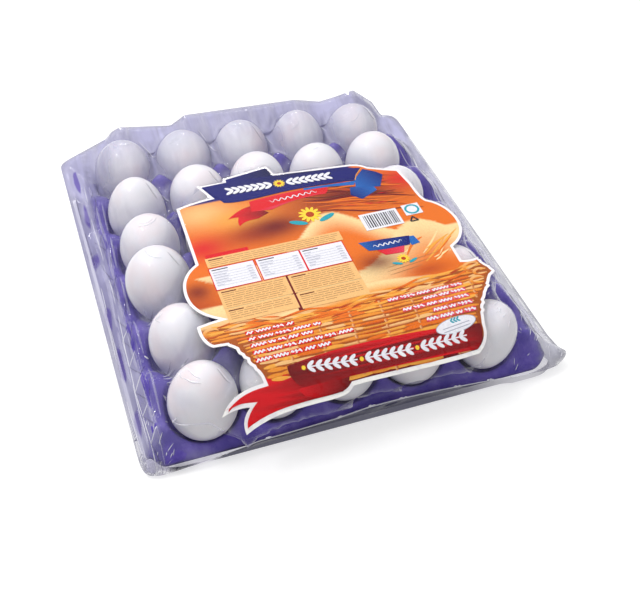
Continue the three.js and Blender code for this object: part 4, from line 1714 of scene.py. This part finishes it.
@dataclass
class FilmFolds:
    """The sharp little folds in the film, where it gathers, is pulled or rests on something, drawn as bright
    lines of painted highlight, dark lines of painted shade and soft streaks.
    """

    eggs: EggSet
    egg_seed: int = 411
    side_seed: int = 523
    front_seed: int = 639
    corner_seed: int = 757
    label_x: Place = (-62, 62)  # the eggs with their middle in here lie under the label
    label_y: Place = (-130, 12)
    bubbles: tuple[Place, ...] = ((-121, -91), (117, 57), (116.5, 6), (-117, 43), (70, 101))
    pinches: tuple[Place, ...] = ((-114, -55), (-101, -48), (-121, -67), (-111, -68), (-113, -100),
                                  (-103, -97), (-117, -107))
    # long folds: place across, drift, shortest and longest stretch, width and how they show
    long_folds: Rows = (
        (-137.0, 0.01, 24, 50, 0.6, (Tone.LIGHT, Tone.DARK)), (-131.6, 0.02, 30, 80, 3.4, (Tone.SOFT,)),
        (-130.2, 0.02, 24, 50, 0.7, (Tone.LIGHT,)), (-126.0, 0.02, 20, 46, 2.4, (Tone.SOFT,)),
        (-123.5, 0.01, 14, 30, 0.6, (Tone.DARK, Tone.SOFT)), (-121.0, 0.01, 20, 40, 1.6, (Tone.SOFT,)),
        (131.0, -0.02, 12, 30, 0.7, (Tone.SOFT, Tone.DARK)), (135.5, -0.022, 14, 34, 2.4, (Tone.SOFT,)),
        (139.0, -0.022, 16, 44, 0.9, (Tone.LIGHT, Tone.DARK)), (143.5, -0.022, 20, 50, 3.2, (Tone.SOFT,)))
    zigzag_x: Place = (-131.8, -126.2)
    gathers: tuple[float, ...] = (-91.0, -62.0, -15.0, 8.0, 31.0, 70.0, 96.0, 112.0)
    pull: Place = (-116.0, 31.5)
    # corners full of nicks: left, right, front and back bounds and how many
    nicks: Rows = (
        (116, 154, -149, -96, 60), (98, 120, -140, -104, 34), (-140, -118, -146, -112, 20),
        (104, 132, -96, 40, 16))

    def creases(self) -> list[Crease]:
        """Draws every fold: by the eggs, along the sides, along the front, and in the corners.

        Returns:
            The creases.
        """
        self.found: list[Crease] = []
        draw = Draw(self.egg_seed)
        for egg in self.eggs.eggs:
            x, y = egg.centre[:2]
            if not (self.label_x[0] < x < self.label_x[1] and self.label_y[0] < y < self.label_y[1]):
                self._by_egg(draw, egg)
        self._between_rows(draw)
        self._sides()
        self._front()
        self._corners()
        return self.found

    def _fold(self, line: Line, width: float, tone: Tone = Tone.LIGHT,
              facing: Facing = Facing.TOP) -> None:
        """Draws one fold."""
        self.found.append(Crease(line, width, tone, facing))

    def _by_egg(self, draw: Draw, egg: Egg) -> None:
        """Tension lines from an egg's right shoulder into the valley beside it, and fine wrinkles on it: dark
        lines of painted shade beside bright lines of painted highlight, and short bright arcs of painted
        highlight.

        Args:
            draw: the eggs' draw.
            egg: the egg.
        """
        x, y = egg.centre[:2]
        start = (x + draw.between(16, 18.5), y + draw.between(15, 20))
        end = (x + draw.between(24, 26), y - draw.between(-3, 5))
        self._fold([start, end], 0.7, Tone.DARK)
        self._fold([(start[0] + 0.9, start[1] + 0.6), (end[0] + 0.9, end[1])], 0.5)
        if draw.between(0, 1) < 0.6 or (egg.column, egg.row) == (1, 1):
            low_x, low_y = x + draw.between(7, 10), y - draw.between(0, 4)
            self._fold([(low_x, low_y), (low_x + 2.4, low_y - 5), (low_x + 5.4, low_y - 8.5)], 0.55,
                       Tone.DARK)
            self._fold([(low_x + 0.9, low_y), (low_x + 6.2, low_y - 8.3)], 0.4)
        # painted highlight: a few short bright arcs on the film over the egg
        turn, size = draw.between(2.2, 4.4), draw.between(5, 10)
        spot = (x + draw.between(-8, 3), y + draw.between(-6, 8))
        for arc in range(int(draw.between(0, 2.6))):
            ring = [(spot[0] + (size - 2 * arc) * cos(t), spot[1] + (size - 2 * arc) * sin(t))
                    for t in np.linspace(turn, turn + 0.9 + 0.1 * size - 0.3 * arc, 8)]
            self._fold(ring, 0.7 - 0.1 * arc)

    def _between_rows(self, draw: Draw) -> None:
        """Small fans at the left edge between the rows, bubbles, and pinches by the first eggs; the fans and
        pinches are bright lines of painted highlight and dark lines of painted shade.

        Args:
            draw: the eggs' draw.
        """
        for row in range(1, self.eggs.rows):
            y = (row - self.eggs.rows / 2) * self.eggs.pitch
            for fan in range(5):
                lean = fan - 2 + draw.between(-0.4, 0.4)
                self._fold([(-115 + abs(lean), y + lean * 1.2), (-106 - abs(lean), y + lean * 2.4 + 1)], 0.45,
                           Tone.LIGHT if fan % 2 else Tone.DARK)
        for x, y in self.bubbles:
            ring = [(x + 4.2 * cos(t), y + 3.6 * sin(t)) for t in np.linspace(0.3, 6.0, 20)]
            self._fold(ring, 0.6, Tone.SOFT)
        for x, y in self.pinches:
            for _ in range(4):
                turn, size = draw.between(-0.4, 1.3), draw.between(2.5, 7)
                self._fold([(x, y), (x + size * cos(turn), y - size * sin(turn))],
                           draw.between(0.4, 0.8), Tone.LIGHT if draw.between(0, 1) < 0.6 else Tone.DARK)

    def _sides(self) -> None:
        """Long broken folds down both sides, a zigzag down the left one and slanting folds between them;
        their bright lines are painted highlight and their dark lines painted shade.
        """
        draw = Draw(self.side_seed)
        for x, drift, low, high, width, tones in self.long_folds:
            y = -134.0 + draw.between(0, 20)
            while y < 112:
                size = draw.between(low, high)
                line = [(x + drift * py + 0.9 * sin(py / 29 + x), py)
                        for py in np.linspace(y, min(y + size, 124), 9)]
                self._fold(line, width, draw.pick(tones))
                y += size + draw.between(4, 22)
        outer, inner = (-131.8, -156.0), (-126.4, -151.0)
        for at in range(9):
            after = (self.zigzag_x[0] + draw.between(-0.8, 0.8), outer[1] + draw.between(20, 29))
            tip = (self.zigzag_x[1] + draw.between(-0.6, 0.6), after[1] + draw.between(3, 9))
            bright = Tone.LIGHT if after[1] < -40 else Tone.SOFT
            self._fold([outer, after], 0.7, bright)
            self._fold([after, tip], 0.8, bright)
            self._fold([inner, after], 0.6, Tone.DARK)
            self._fold([inner, tip], 0.7, Tone.SOFT)
            outer, inner = after, tip
            y = -110 + 27 * at + draw.between(-4, 4)
            self._fold([(-127 + draw.between(-2, 2), y), (-122.5, y + draw.between(9, 20))], 0.5, Tone.DARK)
        for at in range(16):
            x, y = 127 + draw.between(-2, 8), -116 + 15.5 * at + draw.between(-4, 4)
            self._fold([(x, y), (x + draw.between(2, 6), y - draw.between(9, 24))], 0.6,
                       Tone.LIGHT if at % 3 else Tone.DARK)

    def _front(self) -> None:
        """The bright fold line along the front rim, the gathers on it, and the pull by the first egg, drawn
        as bright lines of painted highlight with one soft streak.
        """
        draw = Draw(self.front_seed)
        self._fold([(x, 0.0) for x in np.linspace(-94, 128, 90)], 0.8, facing=Facing.RIM)
        for middle in self.gathers:
            for _ in range(3):
                x, high = middle + draw.between(-2.5, 2.5), draw.between(0.1, 0.9)
                self._fold([(x, high), (x + draw.between(1.0, 3.2), high + draw.between(-0.2, 0.5))],
                           draw.between(0.9, 1.7), facing=Facing.RIM)
        self._fold([self.pull, (-111.5, 34.5), (-106.5, 37.6)], 1.6, facing=Facing.FRONT)
        self._fold([self.pull, (-115.2, 34.5), (-114.0, 38)], 1.6, facing=Facing.FRONT)
        self._fold([(-116.2, 30), self.pull, (-115.4, 33)], 2.4, facing=Facing.FRONT)
        self._fold([(-106, 37.6), (-96, 39.4), (-88, 38)], 1.6, Tone.SOFT, Facing.FRONT)
        # painted highlight: bright streaks by the pinch on the front left egg
        self._fold([(-105.5, -123), (-102, -128.6), (-96.8, -131.6)], 1.1)
        self._fold([(-102, -118), (-99.9, -125.1), (-96.6, -129)], 0.8)

    def _corners(self) -> None:
        """Short bright nicks of painted highlight, like glints, where the film gathers in the front corners
        and on the front right egg.
        """
        draw = Draw(self.corner_seed)
        for left, right, low, high, count in self.nicks:
            for _ in range(count):
                x, y = draw.between(left, right), draw.between(low, high)
                turn, size = draw.between(0.3, 1.5), draw.between(1.5, 5.5)
                self._fold([(x, y), (x + size * cos(turn), y + size * sin(turn))],
                           draw.between(0.35, 0.7))


@dataclass
class ShrinkFilm:
    """One closed-over sheet of film: hung from a fold all round, pulled down on what it wraps."""

    eggs: EggSet
    tray: PulpTray
    label: CardLabel
    left: float = -104.0
    right: float = 115.0
    front: float = -118.0
    back: float = 128.0
    top_z: float = 67.9
    spacing: float = 2.2
    corner_steps: int = 20
    # how square the corners are: front left, front right, back left and back right
    corner_power: tuple[float, float, float, float] = (0.32, 0.34, 0.2, 0.4)
    ear: float = 3.0
    hem_z: float = 1.6
    left_wall: SideWall = SideWall(138.5, (141.0, 142.0), (6.0, 36.0), 121.5, 113.0)
    right_wall: SideWall = SideWall(146.0, (157.0, 147.0), (7.0, 27.0), 126.0, 121.0)
    front_wall: FrontWall = FrontWall()
    back_wall: BackWall = BackWall()
    span_steps: tuple[int, ...] = (9, 8, 8, 6, 8)
    most_neighbours: int = 6
    rounds: int = 420
    pull: float = 0.10
    slow_pull: float = 0.02
    pull_to: Place = (5.5, 20.0)
    pull_past: Place = (118, 128)
    egg_reach: float = 42.0
    gap: float = 0.55
    field_half: float = 170.0
    nowhere: float = -100.0
    lip_y: float = -120.0
    lip_gap: float = 2.0
    crumple_most: float = 2.5
    crease_step: float = 1.8
    # milkiness across the pack
    bands: tuple[Place, ...] = (
        (-142, 0.80), (-139, 0.74), (-136.5, 0.52), (-133.4, 0.46), (-132.0, 0.62), (-127.4, 0.56),
        (-126.2, 0.16), (-122, 0.10), (-118, 0.07), (-108, 0.03), (108, 0.03), (120, 0.06), (126, 0.13),
        (131, 0.34), (136, 0.48), (142, 0.58), (150, 0.68), (158, 0.7))

    # Starting shape

    def _fan(self, columns: int, rows: int) -> tuple[Points, Points]:
        """Walks round the sheet's edge, with a fan of repeated places at each corner.

        Args:
            columns, rows: steps across and along the sheet.

        Returns:
            Index of the sheet's vertex at each place, and how far each has turned from a side wall (0)
            to the front or back wall (1).
        """
        inner: list[int] = []
        turn: list[float] = []
        opening = np.linspace(0, 1, self.corner_steps + 1)
        corners = ((0, 0), (columns, 0), (columns, rows), (0, rows))
        for side, ((i, j), (k, l)) in enumerate(zip(corners, corners[1:] + corners[:1])):
            across = side % 2 == 0
            inner += [j * (columns + 1) + i] * len(opening)
            turn += list(opening if across else opening[::-1])
            steps = columns if across else rows
            for step in range(1, steps):
                inner.append((j + (l - j) * step // steps) * (columns + 1) + i + (k - i) * step // steps)
                turn.append(1.0 if across else 0.0)
        return np.array(inner), np.array(turn)

    def _rings(self, foot: Points, turning: Points) -> list[Points]:
        """Places of the six key rings round the film, from the hem up to the sheet's edge.

        Args:
            foot: the sheet's edge.
            turning: 0 on the side walls and 1 on the front and back.

        Returns:
            The rings.
        """
        is_right = foot[:, 0] > (self.left + self.right) / 2
        is_back = foot[:, 1] > (self.front + self.back) / 2
        depth = np.clip((foot[:, 1] - self.front) / (self.back - self.front), 0, 1)
        walls = [wall.section(depth, self.hem_z) for wall in (self.left_wall, self.right_wall)]
        sides = [np.where(is_right, right, left) for left, right in zip(*walls)]
        walls = [wall.section(foot[:, 0], self.hem_z) for wall in (self.front_wall, self.back_wall)]
        ends = [np.where(is_back, back, front) for front, back in zip(*walls)]
        power = np.choose(2 * is_back + is_right, self.corner_power)
        reach_x = np.abs(np.cos(turning * np.pi / 2)) ** power * (turning < 1)
        reach_y = np.abs(np.sin(turning * np.pi / 2)) ** power
        across, along = np.where(is_right, 1.0, -1.0), np.where(is_back, 1.0, -1.0)
        corner_x = np.where(is_right, self.right, self.left)
        corner_y = np.where(is_back, self.back, self.front)
        lobe = self.ear * np.sin(np.pi * np.clip(turning / 0.6, 0, 1)) * (is_right & ~is_back)
        rings = []
        for ring in range(5):
            px = np.where(turning == 1, foot[:, 0], corner_x + (across * sides[0][ring] - corner_x) * reach_x)
            py = np.where(turning == 0, foot[:, 1], corner_y + (along * ends[0][ring] - corner_y) * reach_y)
            end_high, share = ends[1][ring], turning
            if ring == 1:
                end_high = np.where(is_back, self.back_wall.edge(px), self.front_wall.edge(px))
                share = smooth(turning, 0.0, 0.5)
            high = sides[1][ring] + (end_high - sides[1][ring]) * share
            if ring < 2:
                px, high = px + lobe * 0.8, high + lobe * (0.6 + ring)
            rings.append(np.stack([px, py, high], axis=1))
        return [*rings, foot]

    def _start(self) -> None:
        """Lays out the sheet's grid and the rings below it, and finds each vertex's neighbours."""
        columns = round((self.right - self.left) / self.spacing)
        rows = round((self.back - self.front) / self.spacing)
        x, y = np.meshgrid(np.linspace(self.left, self.right, columns + 1),
                           np.linspace(self.front, self.back, rows + 1))
        sheet = np.stack([x, y, np.full_like(x, self.top_z)], axis=-1).reshape(-1, 3)
        before, turning = self._fan(columns, rows)
        around, count = len(before), len(sheet)
        rings = self._rings(sheet[before], turning)
        points = [sheet]
        self.faces: list[tuple[int, ...]] = grid_faces(columns, rows)
        levels: list[float] = [5.0] * count
        for span in range(5, 0, -1):
            for step in range(1, self.span_steps[span - 1] + 1):
                share = step / self.span_steps[span - 1]
                points.append(rings[span] * (1 - share) + rings[span - 1] * share)
                now = np.arange(count, count + around)
                for a, b, c, d in zip(before, np.roll(before, -1), now, np.roll(now, -1)):
                    self.faces.append((a, c, d) if a == b else (a, c, d, b))
                levels += [span - share] * around
                count += around
                before = now
        self.points = np.vstack(points)
        self.level = np.array(levels)
        self.free = ~(np.isclose(self.level, 0) | np.isclose(self.level, 1))
        fold = np.nonzero(np.isclose(self.level, 1) & (self.points[:, 1] < self.front))[0]
        self.fold = fold[np.argsort(self.points[fold, 0])]
        self._join()

    def _join(self) -> None:
        """Tables each vertex's neighbours, as many as it keeps, and their weights."""
        count, most = len(self.points), self.most_neighbours
        neighbours: list[set[int]] = [set() for _ in range(count)]
        for face in self.faces:
            for a, b in zip(face, face[1:] + face[:1]):
                neighbours[a].add(int(b))
                neighbours[b].add(int(a))
        self.table = np.tile(np.arange(count)[:, None], (1, most))
        self.weight = np.zeros((count, most, 1))
        for vertex, near in enumerate(neighbours):
            chosen = sorted(near)[:most]
            self.table[vertex, :len(chosen)] = chosen
            self.weight[vertex, :len(chosen)] = 1 / len(chosen)

    # Pulling the film down

    def _ground(self) -> None:
        """Grids of the heights that the film may not pass: the pulp and the label."""
        self.cell = 1.0
        self.low = np.array([-self.field_half, -self.field_half])
        ticks = np.arange(-self.field_half, self.field_half + 1, self.cell)
        x, y = np.meshgrid(ticks, ticks, indexing="ij")
        inside = (np.abs(x) <= self.tray.half_width(x, y)) & (np.abs(y) <= self.tray.half_y - 0.5)
        self.pulp_top = np.where(inside, self.tray.height(x, y), self.nowhere)
        under = within(self.label.outline(), x, y)
        for axis in (0, 1):
            under = under | np.roll(under, 1, axis) | np.roll(under, -1, axis)
        self.card_top = np.where(under, self.label.surface(x, y, 0.3)[..., 2], self.nowhere)
        self.card_lip = np.where(under.any(axis=1), y[0, np.argmax(under, axis=1)], 999.0)

    def _look_up(self, table: Points, points: Points) -> Points:
        """Value of a height grid under each point."""
        cell = np.clip(((points[:, :2] - self.low) / self.cell + 0.5).astype(int), 0, table.shape[0] - 1)
        return table[cell[:, 0], cell[:, 1]]

    def _clear(self, points: Points, touched: Points) -> None:
        """Pushes points out of eggs, pulp and card, and marks the ones that were pushed.

        Args:
            points: the points, which it moves.
            touched: 1 is set for each point that it pushed.
        """
        for egg, near in zip(self.eggs.eggs, self.near):
            local = (points[near] - egg.centre) @ egg.turn
            share = local[:, 2] / egg.half_length
            wide = egg.radius * (1 + egg.taper * np.clip(share, -1, 1)) + self.gap
            scaled = np.sqrt((local[:, 0] ** 2 + local[:, 1] ** 2) / wide ** 2
                             + (local[:, 2] / (egg.half_length + self.gap)) ** 2)
            deep = scaled < 1
            if deep.any():
                local[deep] /= np.maximum(scaled[deep], 0.2)[:, None]
                points[near[deep]] = local[deep] @ egg.turn.T + egg.centre
                touched[near[deep]] = 1
        floor = self._look_up(self.pulp_top, points) + self.gap
        deep = points[:, 2] < floor
        points[deep, 2] = floor[deep]
        touched[deep] = 1
        top = self._look_up(self.card_top, points) + self.gap
        deep = points[:, 2] < top
        row = np.clip((points[:, 0] - self.low[0]) / self.cell + 0.5, 0, len(self.card_lip) - 1).astype(int)
        ahead = points[:, 1] - (self.card_lip[row] - self.lip_gap)
        deep &= (top - points[:, 2] < 16) | (points[:, 1] > self.lip_y)
        forward = deep & (ahead < top - points[:, 2]) & (points[:, 1] < self.lip_y)
        points[forward, 1] -= ahead[forward]
        upward = deep & ~forward & (top - points[:, 2] < 30)
        points[upward, 2] = top[upward]
        touched[deep] = 1

    def _pull_down(self) -> None:
        """Draws the sheet tight under a light inward pull until it lies on what it wraps."""
        points = self.points
        self.near = [np.nonzero(np.hypot(*(points[:, :2] - egg.centre[:2]).T) < self.egg_reach)[0]
                     for egg in self.eggs.eggs]
        middle = np.array([self.pull_to[0], 0.0, self.pull_to[1]])
        still = points.copy()
        self.touched = np.zeros(len(points))
        slack = np.where(self.level > 1, self.pull, self.slow_pull)[:, None]
        for _ in range(self.rounds):
            mean = (points[self.table] * self.weight).sum(axis=1)
            inward = middle - points
            inward[:, :2] *= (np.abs(points[:, :2]) > self.pull_past) * 0.6
            inward[:, 2] = -60
            inward /= np.linalg.norm(inward, axis=1)[:, None]
            points = points + 0.5 * (mean - points) + slack * inward
            points[~self.free] = still[~self.free]
            self.touched *= 0.9
            self._clear(points, self.touched)
            points[~self.free] = still[~self.free]
        self.points = points
        self.contact = self.touched.clip(0, 1)
        for _ in range(3):
            nearby = (self.contact[self.table] * self.weight[:, :, 0]).sum(axis=1)
            self.contact = 0.5 * self.contact + 0.5 * nearby

    def _crumple(self) -> None:
        """Works slack folds into the film where nothing under it holds it taut."""
        x, y, _ = self.points.T
        slack = np.clip(1 - self.contact, 0, 1)
        wall = self.level < 5
        section = (5 - self.level) * 10.0
        left = smooth(-x, 121, 136) * wall
        right = smooth(x, 121, 138) * wall
        end = smooth(np.abs(y), 130, 146) * wall
        folds = 0.7 * left * scatter(y / 150, section / 13, 1, 2)
        folds += 0.5 * left * scatter(y / 48, section / 40, 8, 2)
        folds += 1.5 * right * scatter(y / 80 + section / 60, section / 11, 3)
        folds += 0.8 * end * scatter(x / 60, section / 30, 2, 2)
        ripple = 0.3 * scatter(x / 26, y / 26, 4) * (self.level > 1.2)
        rested = smooth(np.abs(self.level - 1), 0.0, 0.25) * 0.6 + 0.4
        amount = (folds + ripple) * slack * rested * smooth(self.level, 0.0, 0.3)
        amount = np.clip(amount, -self.crumple_most, self.crumple_most)
        moved = self.points + self._normals() * amount[:, None]
        self._clear(moved, np.zeros(len(moved)))
        moved[~self.free] = self.points[~self.free]
        self.points = moved

    def _normals(self) -> Points:
        """Averages the facets round each vertex.

        Returns:
            Outward normals of the vertices.
        """
        triangles = np.array([face[:3] for face in self.faces])
        a, b, c = (self.points[triangles[:, corner]] for corner in range(3))
        facet = np.cross(b - a, c - a)
        normal = np.zeros_like(self.points)
        for corner in range(3):
            np.add.at(normal, triangles[:, corner], facet)
        return normal / np.maximum(np.linalg.norm(normal, axis=1)[:, None], 1e-9)

    # Haze

    def _milk(self, front_wall: Points, corner: Points) -> Points:
        """Milkiness of the film: bands along the two slack sides, and more behind and where it is slack.

        Args:
            front_wall: 1 on the front wall.
            corner: 1 in the gathers at the front right corner.

        Returns:
            The milkiness at each vertex.
        """
        x, y, z = self.points.T
        across = x + 1.2 * scatter(y / 90, x / 200, 11, 2) + 0.008 * (y - 20)
        across = across - 7 * smooth(-y, -110, -50) * (x > 0)
        pinch = smooth(-x, 118, 134) * smooth(-y, 136, 146)
        haze = np.interp(across, *zip(*self.bands)) * (1 - 0.75 * front_wall * (1 - pinch))
        haze = haze + 0.30 * smooth(y, 92, 122) + 0.14 * smooth(-x, 88, 112) * smooth(y, 70, 120)
        haze = haze + 0.30 * (smooth(y, 133, 146) * (self.level < 4.5)) + 0.42 * corner
        haze = haze + 0.34 * np.exp(-((x + 104) / 9) ** 2 - ((z - 8) / 3.5) ** 2) * front_wall
        haze = haze + 0.16 * np.clip(1 - 1.4 * self.contact, 0, 1) * (np.abs(x) < 122) * (1 - front_wall)
        haze = haze + 0.13 * smooth(-z, -58, -50) * smooth(-np.abs(x), -124, -112) * (1 - front_wall)
        haze = haze * (1 + 0.2 * scatter(x / 60, y / 60, 5, 2))
        haze = np.where((self._look_up(self.card_top, self.points) > 0) & (z > 40), 0.0, haze)
        return np.clip(haze, 0, 0.92)

    def _patches(self) -> Points:
        """Marks where the left fold touches the tray beside each row.

        Returns:
            A value at each vertex, positive inside a mark.
        """
        x, y, _ = self.points.T
        patch = np.full(len(x), -1.0)
        for row in range(self.eggs.rows):
            middle = (row - 2.5) * self.eggs.pitch + 11 + 4 * sin(row * 2.3)
            across = x + 134.2 + 0.7 * sin(row) - (y - middle) * 0.03
            across = across / (2.5 + 0.5 * sin(row * 3.1))
            along = (y - middle) / (15 + 3 * sin(row * 1.7))
            edge = 0.12 * scatter(x / 20, y / 20, 6 + row, 2)
            patch = np.maximum(patch, 1 - across ** 2 - along ** 2 + edge)
        return np.clip(patch, -1, 1)

    def _looks(self) -> dict[str, Points]:
        """Works out how the film looks at each vertex.

        Returns:
            Its haze, contact marks, greyness and the painted shade under its front fold.
        """
        x, y, z = self.points.T
        front_wall = smooth(-y, 132, 144)
        corner = smooth(-y, 128, 140) * smooth(x + 0.4 * (-y - 140), 136, 143)
        grey = smooth(x, 121, 136) * smooth(-y, -40, 60) + corner + front_wall * smooth(x, -20, 60)
        # painted shade: dark below the front fold, where the tray's side is in shadow, and a dark spot low at
        # the front left for the shadow under the tray's edge
        painted_skirt_shade = (self.level < 0.995) * front_wall * smooth(x, -100, -88) * (1 - 0.7 * smooth(x, 60, 128))
        painted_skirt_shade = np.maximum(painted_skirt_shade, 0.9 * front_wall * np.exp(-((x + 116) / 8) ** 4 - ((z - 3) / 3.2) ** 4))
        return {"haze": self._milk(front_wall, corner), "patch": self._patches(),
                "grey": np.clip(grey, 0, 1), "painted_skirt_shade": painted_skirt_shade}

    # Creases

    def _lay(self, crease: Crease) -> tuple[Points, Points]:
        """Lays a crease's line on the film.

        Args:
            crease: the crease.

        Returns:
            Places on the film, and its outward normal at each.
        """
        line = np.array(crease.line, dtype=float)
        reach = np.concatenate([[0], np.cumsum(np.hypot(*np.diff(line, axis=0).T))])
        spots = np.linspace(0, reach[-1], max(4, int(reach[-1] / self.crease_step) + 1))
        u, v = (np.interp(spots, reach, line[:, axis]) for axis in (0, 1))
        way = Vector(crease.facing.value)
        if crease.facing is Facing.RIM:
            rim = self.points[self.fold].T
            spine = np.stack([u, np.interp(u, rim[0], rim[1]), np.interp(u, rim[0], rim[2]) + v], axis=1)
            return spine, np.tile(-np.array(way), (len(u), 1))
        hits = []
        for a, b in zip(u, v):
            origin = (a, b, 130) if crease.facing is Facing.TOP else (a, -230, b)
            spot, normal, _, _ = self.tree.ray_cast(Vector(origin), way)
            if spot is not None:
                hits.append((*spot, *(normal if normal.dot(way) < 0 else -normal)))
        found = np.array(hits, dtype=float).reshape(-1, 6)
        return found[:, :3], found[:, 3:]

    def _ribbons(self) -> tuple[list[Points], list[tuple[int, ...]], list[int]]:
        """Meshes the creases as low ridges on the film.

        Returns:
            Vertices, faces and the material of each face.
        """
        points: list[Points] = []
        faces: list[tuple[int, ...]] = []
        tones: list[int] = []
        for crease in FilmFolds(self.eggs).creases():
            spine, up = self._lay(crease)
            on_card = crease.facing is Facing.TOP and (self._look_up(self.card_top, spine) > 0).any()
            if len(spine) < 3 or on_card:
                continue
            across = np.cross(np.gradient(spine, axis=0), up)
            across /= np.maximum(np.linalg.norm(across, axis=1)[:, None], 1e-9)
            half = crease.width / 2 * np.sqrt(np.sin(np.pi * np.linspace(0.03, 0.97, len(spine))))[:, None]
            base = 3 * sum(len(part) // 3 for part in points)
            points.append(np.stack([spine - across * half - up * 0.05, spine + up * (0.12 + half * 0.7),
                                    spine + across * half - up * 0.05], axis=1).reshape(-1, 3))
            for step in range(len(spine) - 1):
                for a in (base + step * 3, base + step * 3 + 1):
                    faces.append((a, a + 3, a + 4, a + 1))
                    tones.append(crease.tone.value)
        return points, faces, tones

    def build(self, finish: PolyolefinFilm) -> None:
        """Makes the film with its creases and settles it.

        Args:
            finish: its finishes.
        """
        self._start()
        self._ground()
        self._pull_down()
        self._crumple()
        looks = self._looks()
        self.tree = BVHTree.FromPolygons([Vector(point) for point in self.points],
                                         [tuple(map(int, face)) for face in self.faces])
        extra, extra_faces, tones = self._ribbons()
        count = len(self.points)
        faces = self.faces + [tuple(corner + count for corner in face) for face in extra_faces]
        thing = make_object("shrink_film", np.vstack([self.points, *extra]), faces,
                            [finish.film(), *finish.creases()],
                            [0] * len(self.faces) + tones)
        spare = sum(len(part) for part in extra)
        for name, values in looks.items():
            layer = thing.data.attributes.new(name=name, type="FLOAT", domain="POINT")
            layer.data.foreach_set("value", np.concatenate([values, np.zeros(spare)]))
        settle(thing, Slot.FILM, "film")


# Studio


@dataclass
class Studio:
    """White table, soft overhead light and the camera."""

    azimuth: float = -20.66
    elevation: float = 44.05
    roll: float = 1.75
    distance: float = 723.78
    target: Spot = (17.35, -26.22, 0.0)
    focal_px: float = 971.26
    frame_px: tuple[int, int] = (640, 599)
    sensor_mm: float = 36.0
    clip: Place = (0.01, 20.0)
    table_half: float = 4000.0
    table_glow: float = 0.54
    room: tuple[float, float] = (0.5, 0.98)
    key_from: Spot = (-0.4, 0.45, 1.0)
    key_strength: float = 0.5
    key_spread: float = 55.0
    glints: Rows = (
        ("softbox", (-0.35, 0.5, 1.1), (0.8, 0.4), 3.4),
        ("glint_left", (-0.55, 0.02, 1.2), (0.3, 0.04), 3.0),
        ("glint_back", (0.15, 1.1, 0.75), (0.5, 0.04), 1.6))

    def camera(self) -> None:
        """Sets up the camera."""
        azimuth, elevation, roll = (radians(turn) for turn in (self.azimuth, self.elevation, self.roll))
        back = Vector((sin(azimuth) * cos(elevation), -cos(azimuth) * cos(elevation),
                       sin(elevation)))
        right = (-back).cross(Vector((0, 0, 1))).normalized()
        up = right.cross(-back)
        turned = right * cos(roll) + up * sin(roll)
        upright = up * cos(roll) - right * sin(roll)
        data = bpy.data.cameras.new("camera")
        data.sensor_width = self.sensor_mm
        data.sensor_fit = "HORIZONTAL"
        data.lens = self.focal_px * self.sensor_mm / self.frame_px[0]
        data.clip_start, data.clip_end = self.clip
        camera = bpy.data.objects.new("camera", data)
        bpy.context.scene.collection.objects.link(camera)
        place = (Vector(pack_origin()) + Vector(self.target) + back * self.distance) * MM
        axes = Matrix((turned, upright, back)).transposed().to_4x4()
        camera.matrix_world = Matrix.Translation(place) @ axes
        bpy.context.scene.camera = camera

    def lights(self) -> None:
        """A room paler overhead, a broad key from behind on the left and thin boxes for crisp glints."""
        scene = bpy.context.scene
        scene.view_settings.view_transform = "Standard"
        scene.view_settings.look = "None"
        world = bpy.data.worlds.new("white_room")
        world.use_nodes = True
        tree = world.node_tree
        way = add_node(tree, "SeparateXYZ", {0: add_node(tree, "TexCoord").outputs["Generated"]})
        share = add_node(tree, "MapRange", {"Value": way.outputs["Z"], "To Min": self.room[0],
                                            "To Max": self.room[1]})
        tree.nodes["Background"].inputs["Color"].default_value = (1, 1, 1, 1)
        tree.links.new(share.outputs[0], tree.nodes["Background"].inputs["Strength"])
        scene.world = world
        key = bpy.data.lights.new("key", "SUN")
        key.energy = self.key_strength
        key.angle = radians(self.key_spread)
        self._hang(key, self.key_from)
        for name, place, size, power in self.glints:
            box = bpy.data.lights.new(name, "AREA")
            box.shape = "RECTANGLE"
            box.size, box.size_y = size
            box.energy = power
            self._hang(box, place).location = place

    @staticmethod
    def _hang(data: Light, way: Spot) -> Object:
        """Turns a light towards the pack.

        Args:
            data: the light.
            way: where it shines from, seen from the pack.

        Returns:
            The light's object.
        """
        light = bpy.data.objects.new(data.name, data)
        bpy.context.scene.collection.objects.link(light)
        light.rotation_euler = (-Vector(way)).to_track_quat("-Z", "Y").to_euler()
        return light

    def table(self) -> None:
        """A plain white table top."""
        material, tree, output = new_material("white_table")
        shader = add_node(tree, "BsdfPrincipled", {
            "Base Color": linear("#C4C4C4"), "Roughness": 0.8, "Specular IOR Level": 0.0,
            "Emission Strength": self.table_glow, "Emission Color": linear("#FFFFFF")})
        tree.links.new(shader.outputs[0], output.inputs["Surface"])
        half = self.table_half
        corners = np.array([(-half, -half, 0), (half, -half, 0), (half, half, 0), (-half, half, 0)])
        table = make_object("table", corners, [(0, 1, 2, 3)], [material])
        table.visible_diffuse = False


def main() -> None:
    """Builds the studio, then the pack in order."""
    logging.basicConfig(level=logging.INFO, format="%(name)s: %(message)s")
    studio = Studio()
    studio.camera()
    studio.lights()
    studio.table()
    eggs = EggSet()
    eggs.build(WhiteEggshell().material())
    tray = PulpTray(eggs)
    tray.build(MouldedPulp().material())
    label = CardLabel()
    card = CoatedCard()
    label.build(card.board(), card.printed_face())
    film = ShrinkFilm(eggs, tray, label)
    film.build(PolyolefinFilm())


if __name__ == "__main__":
    main()
